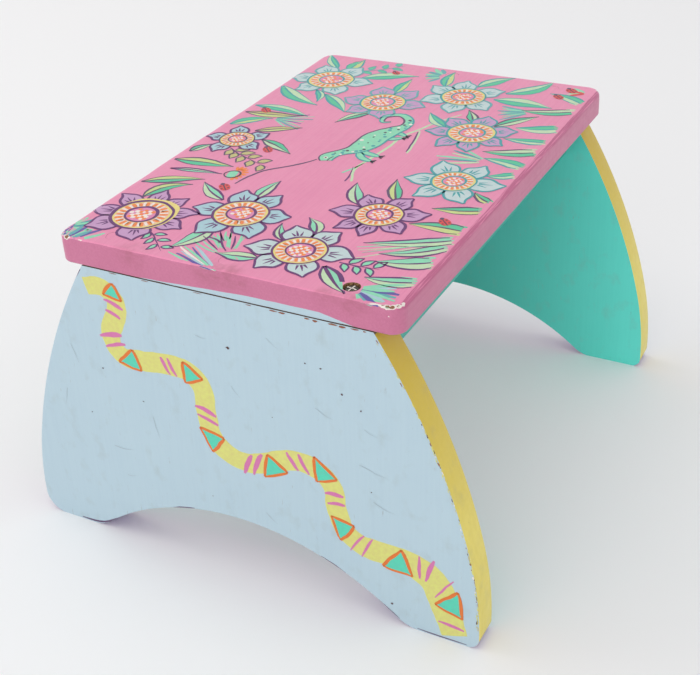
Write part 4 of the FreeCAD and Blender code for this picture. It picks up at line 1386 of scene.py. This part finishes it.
@dataclass(frozen=True)
class RibbonPicture:
    """The winding ribbon on an end panel, with its triangles and stripes."""

    canvas: Canvas
    name: str
    line: tuple[Flat, ...] = (
        (99, -14), (86, -12), (77, -20), (78, -30), (84, -42), (83, -53), (75, -60), (62, -59), (45, -57), (29, -58), (19, -68), (18, -85), (15, -101),
        (5, -112), (-10, -115), (-25, -110), (-43, -103), (-59, -105), (-69, -115), (-71, -130), (-76, -145), (-87, -153), (-102, -154), (-120, -156),
        (-133, -162), (-140, -173), (-144, -186), (-149, -202),
    )
    triangles: tuple[tuple[Flat, Flat, Flat], ...] = (
        ((78, -8), (72, -19), (86, -17)), ((69, -53), (64, -67), (81, -64)), ((32, -52), (18, -61), (31, -67)), ((7, -101), (24, -98), (16, -114)),
        ((-57, -96), (-72, -108), (-58, -114)), ((-24, -104), (-38, -114), (-21, -122)), ((-83, -140), (-67, -137), (-73, -154)),
        ((-114, -147), (-121, -165), (-101, -164)), ((-151, -167), (-154, -187), (-136, -181)),
    )
    stripes: tuple[tuple[Flat, Flat, float], ...] = (
        ((72, -25), (86, -21), 1.2), ((75, -32), (86, -28), 1.1), ((76, -44), (93, -48), 1.5), ((74, -50), (90, -55), 1.1), ((43, -52), (37, -64), 1.0),
        ((48, -52), (42, -64), 1.2), ((11, -86), (26, -82), 1.3), ((10, -93), (25, -88), 1.1), ((-46, -97), (-53, -110), 1.2), ((-38, -98), (-46, -110), 1.1),
        ((-20, -105), (-13, -123), 1.4), ((-13, -108), (-6, -124), 1.4), ((-76, -120), (-63, -121), 1.2), ((-77, -126), (-65, -128), 1.1),
        ((-95, -146), (-87, -162), 0.7), ((-89, -145), (-79, -160), 0.7), ((-135, -148), (-130, -166), 1.2), ((-126, -148), (-126, -165), 0.9),
        ((-148, -159), (-136, -176), 0.6), ((-155, -196), (-138, -194), 1.0),
    )
    yellow_edge: tuple[Flat, ...] = ((-98.6, -1), (-114.2, -25), (-126.8, -49), (-137.6, -74), (-146.5, -98), (-153.9, -122), (-159.8, -146), (-163.6, -170), (-164.6, -194))
    nicks: tuple[tuple[float, float, float, float], ...] = (
        (-2.5, -33.5, 1.5, 1.0), (-78, -46, 0.8, 1.0), (95, -72.5, 0.7, 1.0), (-65, -32, 0.6, 1.5), (-55, -31, 0.7, 1.0), (-90, -54, 0.7, 1.0),
        (-107, -192, 1.2, 1.0), (66, -90, 0.5, 2.0), (20, -150, 0.45, 1.0), (-30, -75, 0.45, 1.0), (-95, -110, 0.5, 1.0), (110, -110, 0.5, 1.0),
        (-36, -1.0, 0.6, 6.0), (-42, -1.2, 0.9, 3.5), (-58, -1.0, 0.6, 4.0), (-63, -1.4, 0.9, 2.0), (-74, -1.0, 0.7, 5.0), (-80, -1.2, 0.9, 4.0), (-88, -0.9, 0.6, 6.0),
        (-94, -1.0, 0.6, 3.0), (-20, -0.9, 0.4, 6.0), (15, -0.8, 0.3, 12.0), (52, -0.8, 0.3, 14.0), (76, -0.8, 0.35, 10.0),
    )
    scratches: tuple[tuple[Flat, Flat, float], ...] = (
        ((95, -133), (78, -131), 0.22), ((-96, -117), (-112, -122), 0.2), ((-30, -20), (-38, -26), 0.18), ((60, -100), (56, -118), 0.2),
        ((20, -30), (12, -31), 0.18), ((-60, -60), (-72, -66), 0.2), ((-88, -92), (-106, -97), 0.18), ((118, -60), (114, -74), 0.2),
        ((128, -96), (131, -110), 0.22), ((-20, -150), (-28, -157), 0.25), ((30, -172), (23, -175), 0.2), ((-92, -66), (-101, -70), 0.16),
        ((88, -155), (80, -153), 0.18), ((-2, -60), (-9, -68), 0.18),
    )
    laps: tuple[tuple[tuple[Flat, ...], float], ...] = (
        (((135, -205.9), (124, -205.6), (115, -203.6), (107, -199.2), (99, -194.2)), 0.8), (((54, -170.8), (46, -168.0), (36, -165.4)), 0.45),
        (((-58, -171.9), (-66, -175.0), (-75, -179.2)), 0.4), (((-124, -205.9), (-140, -206.0), (-157, -205.9)), 0.45),
        (((-96, -191.4), (-104, -197.0), (-112, -202.6)), 0.35), (((101, -3), (106, -10), (110, -17)), 0.5),
    )

    @staticmethod
    def bulge(corners: tuple[Flat, Flat, Flat]) -> float:
        """How far a triangle's sides swell outward, in mm, for the way round that its corners are listed."""
        (ax, ay), (bx, by), (cx, cy) = corners
        return -0.4 if (bx - ax) * (cy - ay) - (by - ay) * (cx - ax) > 0 else 0.4

    def chip_edge(self, work: BrushWork) -> None:
        """Rub the corner between the face and the yellow edge through in a thin broken line."""
        dice = random.Random(77)
        border_line = curve(*self.yellow_edge)
        share = 0.03
        while share < 0.985:
            spot = border_line(share)
            run = heading(border_line, share)
            worst = share > 0.7 or 0.28 < share < 0.42
            crumb = dice.uniform(0.2, 0.5) * (1.5 if worst else 1.0)
            paint = dice.choice((Paint.NICK, Paint.CREAM, Paint.BARE, Paint.OLIVE, Paint.OLIVE, Paint.LEMON, Paint.LEMON))
            place = (max(spot.x, -164.0) + dice.uniform(-0.2, 1.1), spot.y + dice.uniform(-0.5, 0.5))
            work.speck(place, crumb, paint, 2, dice.uniform(1.4, 4.5), math.atan2(run.y, run.x))
            share += dice.choice((0.004, 0.006, 0.01)) if worst else dice.choice((0.006, 0.01, 0.022))

    def scuff(self, work: BrushWork) -> None:
        """Faint scratches, and the lilac of the lower edge lapping on to the face."""
        for first, last, half in self.scratches:
            work.stroke(bowed(first, last, 0.5), half * 0.6, Paint.SCUFF, 4, Profile.TAPER, 9, waver=0.9)
        for path, half in self.laps:
            work.stroke(curve(*path), half, Paint.GREY_PLUM, 0, Profile.DAB, 12, waver=0.3)

    def build(self) -> bpy.types.Object:
        """Paint the ribbon."""
        work = BrushWork(self.canvas, 20.0)
        work.stroke(curve(*self.line), 7.4, Paint.LEMON, 0, Profile.RIBBON, 150, 3, waver=0.8)
        for first, last, half in self.stripes:
            work.stroke(bowed(first, last, 0.6), half * 1.25, Paint.MAGENTA, 1, Profile.DAB, 7, waver=0.7)
        for corners in self.triangles:
            work.patch(list(corners), Paint.SEA_GREEN, 2)
            for i in range(3):
                work.stroke(bowed(corners[i], corners[(i + 1) % 3], self.bulge(corners)), 1.15 - 0.25 * (i % 2), Paint.RUST, 3, Profile.LINE, 7, waver=0.8)
        for y, v, reach, stretch in self.nicks:
            work.speck((y, v), reach, Paint.BARE if v > -3 else Paint.NICK, 4, stretch)
        self.chip_edge(work)
        self.scuff(work)
        return work.finish(self.name, "panel_paint")


@dataclass(frozen=True)
class FillerPlug:
    """A disc of filler over a screw head, painted with the seat: it has sunk a little as it dried."""

    node: str
    sink: float = 0.05

    def build(self, finish: bpy.types.Material) -> bpy.types.Object:
        """Turn the plug's profile round its axis."""
        low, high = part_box(self.node)
        x, y = (low[0] + high[0]) / 2, (low[1] + high[1]) / 2
        top = SEAT_LEVEL - ART_DEPTH - self.sink * MM
        radius = (high[0] - low[0]) / 2
        bm = bmesh.new()
        bmesh.ops.create_circle(bm, cap_ends=True, segments=48, radius=radius, matrix=Matrix.Translation((x, y, low[2])))
        lid = bmesh.ops.extrude_face_region(bm, geom=bm.faces[:])["geom"]
        bmesh.ops.translate(bm, verts=[v for v in lid if isinstance(v, bmesh.types.BMVert)], vec=(0, 0, top - low[2]))
        faces = [f for f in lid if isinstance(f, bmesh.types.BMFace)]
        bmesh.ops.inset_region(bm, faces=faces, thickness=1.2 * MM, depth=0.0)
        bmesh.ops.inset_region(bm, faces=faces, thickness=1.5 * MM, depth=-0.08 * MM)
        bmesh.ops.recalc_face_normals(bm, faces=bm.faces[:])
        plug = finished_object(self.node + "_painted", bm, [finish])
        add_to_stool(plug, "filler_paint", self.node)
        return plug


@dataclass(frozen=True)
class BareScrew:
    """The one screw that shows: an oval head with a cross recess, filler clinging round it and paint in the cross."""

    node: str = "seat_screw_left_front"
    crown: float = 0.75
    slot_length: float = 6.9
    slot_width: float = 1.25
    turn: float = 1.385

    def head(self) -> bmesh.types.BMesh:
        """The domed head and shank, spun from half of their profile."""
        low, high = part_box(self.node)
        x, y = (low[0] + high[0]) / 2, (low[1] + high[1]) / 2
        radius = (high[0] - low[0]) / 2 - 0.1 * MM
        top = high[2]
        profile = ((0, self.crown), (1.6, self.crown - 0.12), (3.2, self.crown - 0.45), (4.1, -0.15), (4.5, -0.6), (4.3, -1.1), (2.1, -2.4), (2.1, -29), (0, -34))
        bm = bmesh.new()
        last = bm.verts.new((x, y, top + profile[0][1] * MM))
        for out, up in profile[1:]:
            made = bmesh.ops.extrude_vert_indiv(bm, verts=[last])["verts"][0]
            made.co = Vector((x + min(out * MM, radius), y, top + up * MM))
            last = made
        bmesh.ops.spin(bm, geom=bm.verts[:] + bm.edges[:], cent=(x, y, 0), axis=(0, 0, 1), angle=math.tau, steps=40, use_merge=True)
        bmesh.ops.remove_doubles(bm, verts=bm.verts[:], dist=1e-6)
        bmesh.ops.recalc_face_normals(bm, faces=bm.faces[:])
        return bm

    def slot(self, turn: float, depth: float) -> bmesh.types.BMesh:
        """One arm of the cross recess, to be cut away."""
        low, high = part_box(self.node)
        place = Matrix.Translation(((low[0] + high[0]) / 2, (low[1] + high[1]) / 2, high[2] + (self.crown + 1.0 - depth) * MM))
        bm = bmesh.new()
        size = (self.slot_length * MM, self.slot_width * MM, 2.0 * MM, 1.0)
        bmesh.ops.create_cube(bm, size=1.0, matrix=place @ Matrix.Rotation(turn, 4, "Z") @ Matrix.Diagonal(size))
        floor = [v for v in bm.verts if v.co.z < high[2] + (self.crown - depth + 0.5) * MM]
        bmesh.ops.scale(bm, verts=floor, vec=(0.6, 0.6, 1.0), space=Matrix.Translation(-place.translation))
        return bm

    def build(self, steel: bpy.types.Material) -> list[bpy.types.Object]:
        """Make the screw, then the paint in its cross."""
        screw = finished_object(self.node + "_head", self.head(), [steel])
        for turn in (self.turn, self.turn + math.pi / 2):
            cut_away(screw, self.slot(turn, 1.5), 0)
        screw.data.set_sharp_from_angle(angle=math.radians(30))
        add_to_stool(screw, "screw_steel", self.node)
        low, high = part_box(self.node)
        middle = Vector(((low[0] + high[0]) / 2, (low[1] + high[1]) / 2, high[2] + (self.crown - 0.6) * MM))
        bm = bmesh.new()
        for turn in (self.turn, self.turn + math.pi / 2):
            size = (self.slot_length * 0.92 * MM, self.slot_width * 0.85 * MM, 0.7 * MM, 1.0)
            bmesh.ops.create_cube(bm, size=1.0, matrix=Matrix.Translation(middle) @ Matrix.Rotation(turn, 4, "Z") @ Matrix.Diagonal(size))
        bmesh.ops.bevel(bm, geom=bm.edges[:], offset=0.25 * MM, segments=3, profile=0.5, affect="EDGES", material=-1)
        clot = finished_object("paint_in_the_cross", bm, [ACRYLICS[Paint.CREAM]])
        add_to_stool(clot, "seat_paint")
        return [screw, clot]


def face_canvas(pieces: list[bpy.types.Object], origin: Vector, right: Vector, up: Vector, outward: Vector) -> Canvas:
    """Stretch a canvas over finished pieces.

    Args:
        pieces: the pieces whose faces are painted.
        origin: the canvas's zero, in metres.
        right: its first direction.
        up: its second direction.
        outward: where it faces.

    Returns:
        The canvas.
    """
    bm = bmesh.new()
    for piece in pieces:
        bm.from_mesh(piece.data)
    faces = BVHTree.FromBMesh(bm)
    bm.free()
    return Canvas(faces, origin, right, up, outward)


@dataclass(frozen=True)
class Studio:
    """The plain floor, the soft lights and the camera."""

    eye: tuple[float, float, float] = (-0.680, -0.3646, 0.5569)
    aim: tuple[float, float, float] = (-0.0224, 0.0, 0.0923)
    roll_degrees: float = -3.1
    lens: float = 63.5

    def floor(self) -> None:
        """A pale seamless floor."""
        bm = bmesh.new()
        bmesh.ops.create_grid(bm, x_segments=2, y_segments=2, size=6.0)
        material, tree, shader = new_material("pale_paper_sweep")
        shader.inputs["Base Color"].default_value = linear("#F7F6F6")
        shader.inputs["Roughness"].default_value = 0.9
        finished_object("floor", bm, [material])

    def light(self, name: str, place: tuple, size: float, watts: float, colour: str) -> None:
        """One soft square lamp, turned to the stool."""
        lamp = bpy.data.lights.new(name, "AREA")
        lamp.shape = "SQUARE"
        lamp.size = size
        lamp.energy = watts
        lamp.color = linear(colour)[:3]
        rig = bpy.data.objects.new(name, lamp)
        rig.location = place
        rig.rotation_euler = (Vector((0, 0, 0.12)) - Vector(place)).to_track_quat("-Z", "Y").to_euler()
        bpy.context.scene.collection.objects.link(rig)

    def camera(self) -> None:
        """The camera, a little above the stool's left front corner."""
        data = bpy.data.cameras.new("camera")
        data.lens = self.lens
        data.sensor_width = 36.0
        rig = bpy.data.objects.new("camera", data)
        turn = (Vector(self.aim) - Vector(self.eye)).to_track_quat("-Z", "Y").to_matrix().to_4x4()
        rig.matrix_world = Matrix.Translation(self.eye) @ turn @ Matrix.Rotation(math.radians(self.roll_degrees), 4, "Z")
        bpy.context.scene.collection.objects.link(rig)
        bpy.context.scene.camera = rig

    def build(self) -> None:
        """Set the whole stage."""
        self.floor()
        self.light("overhead_softbox", (-0.3, 0.0, 2.4), 2.8, 12.0, "#FFFDFA")
        self.light("right_softbox", (-0.2, 3.3, 1.9), 3.0, 31.0, "#FFFDFA")
        self.light("left_softbox", (-2.2, -0.1, 0.8), 2.0, 9.0, "#F8FAFF")
        world = bpy.data.worlds.new("soft_room")
        world.use_nodes = True
        tree = world.node_tree
        background = next(node for node in tree.nodes if node.type == "BACKGROUND")
        sky = add_node(tree, "ShaderNodeTexCoord")
        part = add_node(tree, "ShaderNodeSeparateXYZ", Vector=sky.outputs["Generated"])
        glow = add_node(tree, "ShaderNodeMapRange", _0=part.outputs[2], _1=0.0, _2=0.5, _3=1.5, _4=0.7)
        tree.links.new(glow.outputs[0], background.inputs[1])
        background.inputs[0].default_value = linear("#F3F4F6")
        bpy.context.scene.world = world
        bpy.context.scene.view_settings.view_transform = "Standard"
        self.camera()


def main() -> None:
    """Build the stool piece by piece and say so."""
    logging.basicConfig(level=logging.INFO, format="%(name)s: %(message)s")
    for paint in Paint:
        ACRYLICS[paint] = ArtistPaintFinish("acrylic_" + paint.name.lower(), paint.value).make()
    steel = ScrewSteelFinish().make()
    board = SeatBoard().build()
    pink = bpy.data.materials["pink_enamel_on_pine"]
    log.info("seat board: %s", board.name)
    plugs = []
    for node in sorted(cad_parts):
        if node.startswith("screw_filler_"):
            plugs.append(FillerPlug(node).build(pink))
            log.info("filler: %s", plugs[-1].name)
        elif "screw_" in node:
            carried = bpy.data.objects[node]
            carried.data.materials.clear()
            carried.data.materials.append(steel)
    for piece in BareScrew().build(steel):
        log.info("bare screw: %s", piece.name)
    top = face_canvas([board, *plugs], Vector((0, 0, SEAT_LEVEL)), Vector((1, 0, 0)), Vector((0, 1, 0)), Vector((0, 0, 1)))
    for piece in SeatPicture(top).build():
        log.info("painting: %s", piece.name)
    lean = math.radians(1.5)
    for node, outward in (("left_end_panel", -1.0), ("right_end_panel", 1.0)):
        panel = EndPanel(node, outward).build()
        log.info("end panel: %s", panel.name)
        origin = Vector((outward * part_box("seat_board")[1][0], 0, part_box(node)[1][2]))
        up = Vector((-outward * math.sin(lean), 0, math.cos(lean)))
        facing = Vector((outward * math.cos(lean), 0, math.sin(lean)))
        face = face_canvas([panel], origin, Vector((0, -outward, 0)), up, facing)
        picture = RibbonPicture(face, node + "_ribbon")
        log.info("painting: %s", picture.build().name)
    # The rails get the shaded turquoise: painted shade, as they sit under the seat's edge.
    turquoise = PlainCoatFinish("turquoise_enamel_painted_shade", SHADED_TURQUOISE).make()
    for node in ("front_rail", "back_rail"):
        log.info("rail: %s", Rail(node).build(turquoise).name)
    Studio().build()


if __name__ == "__main__":
    main()
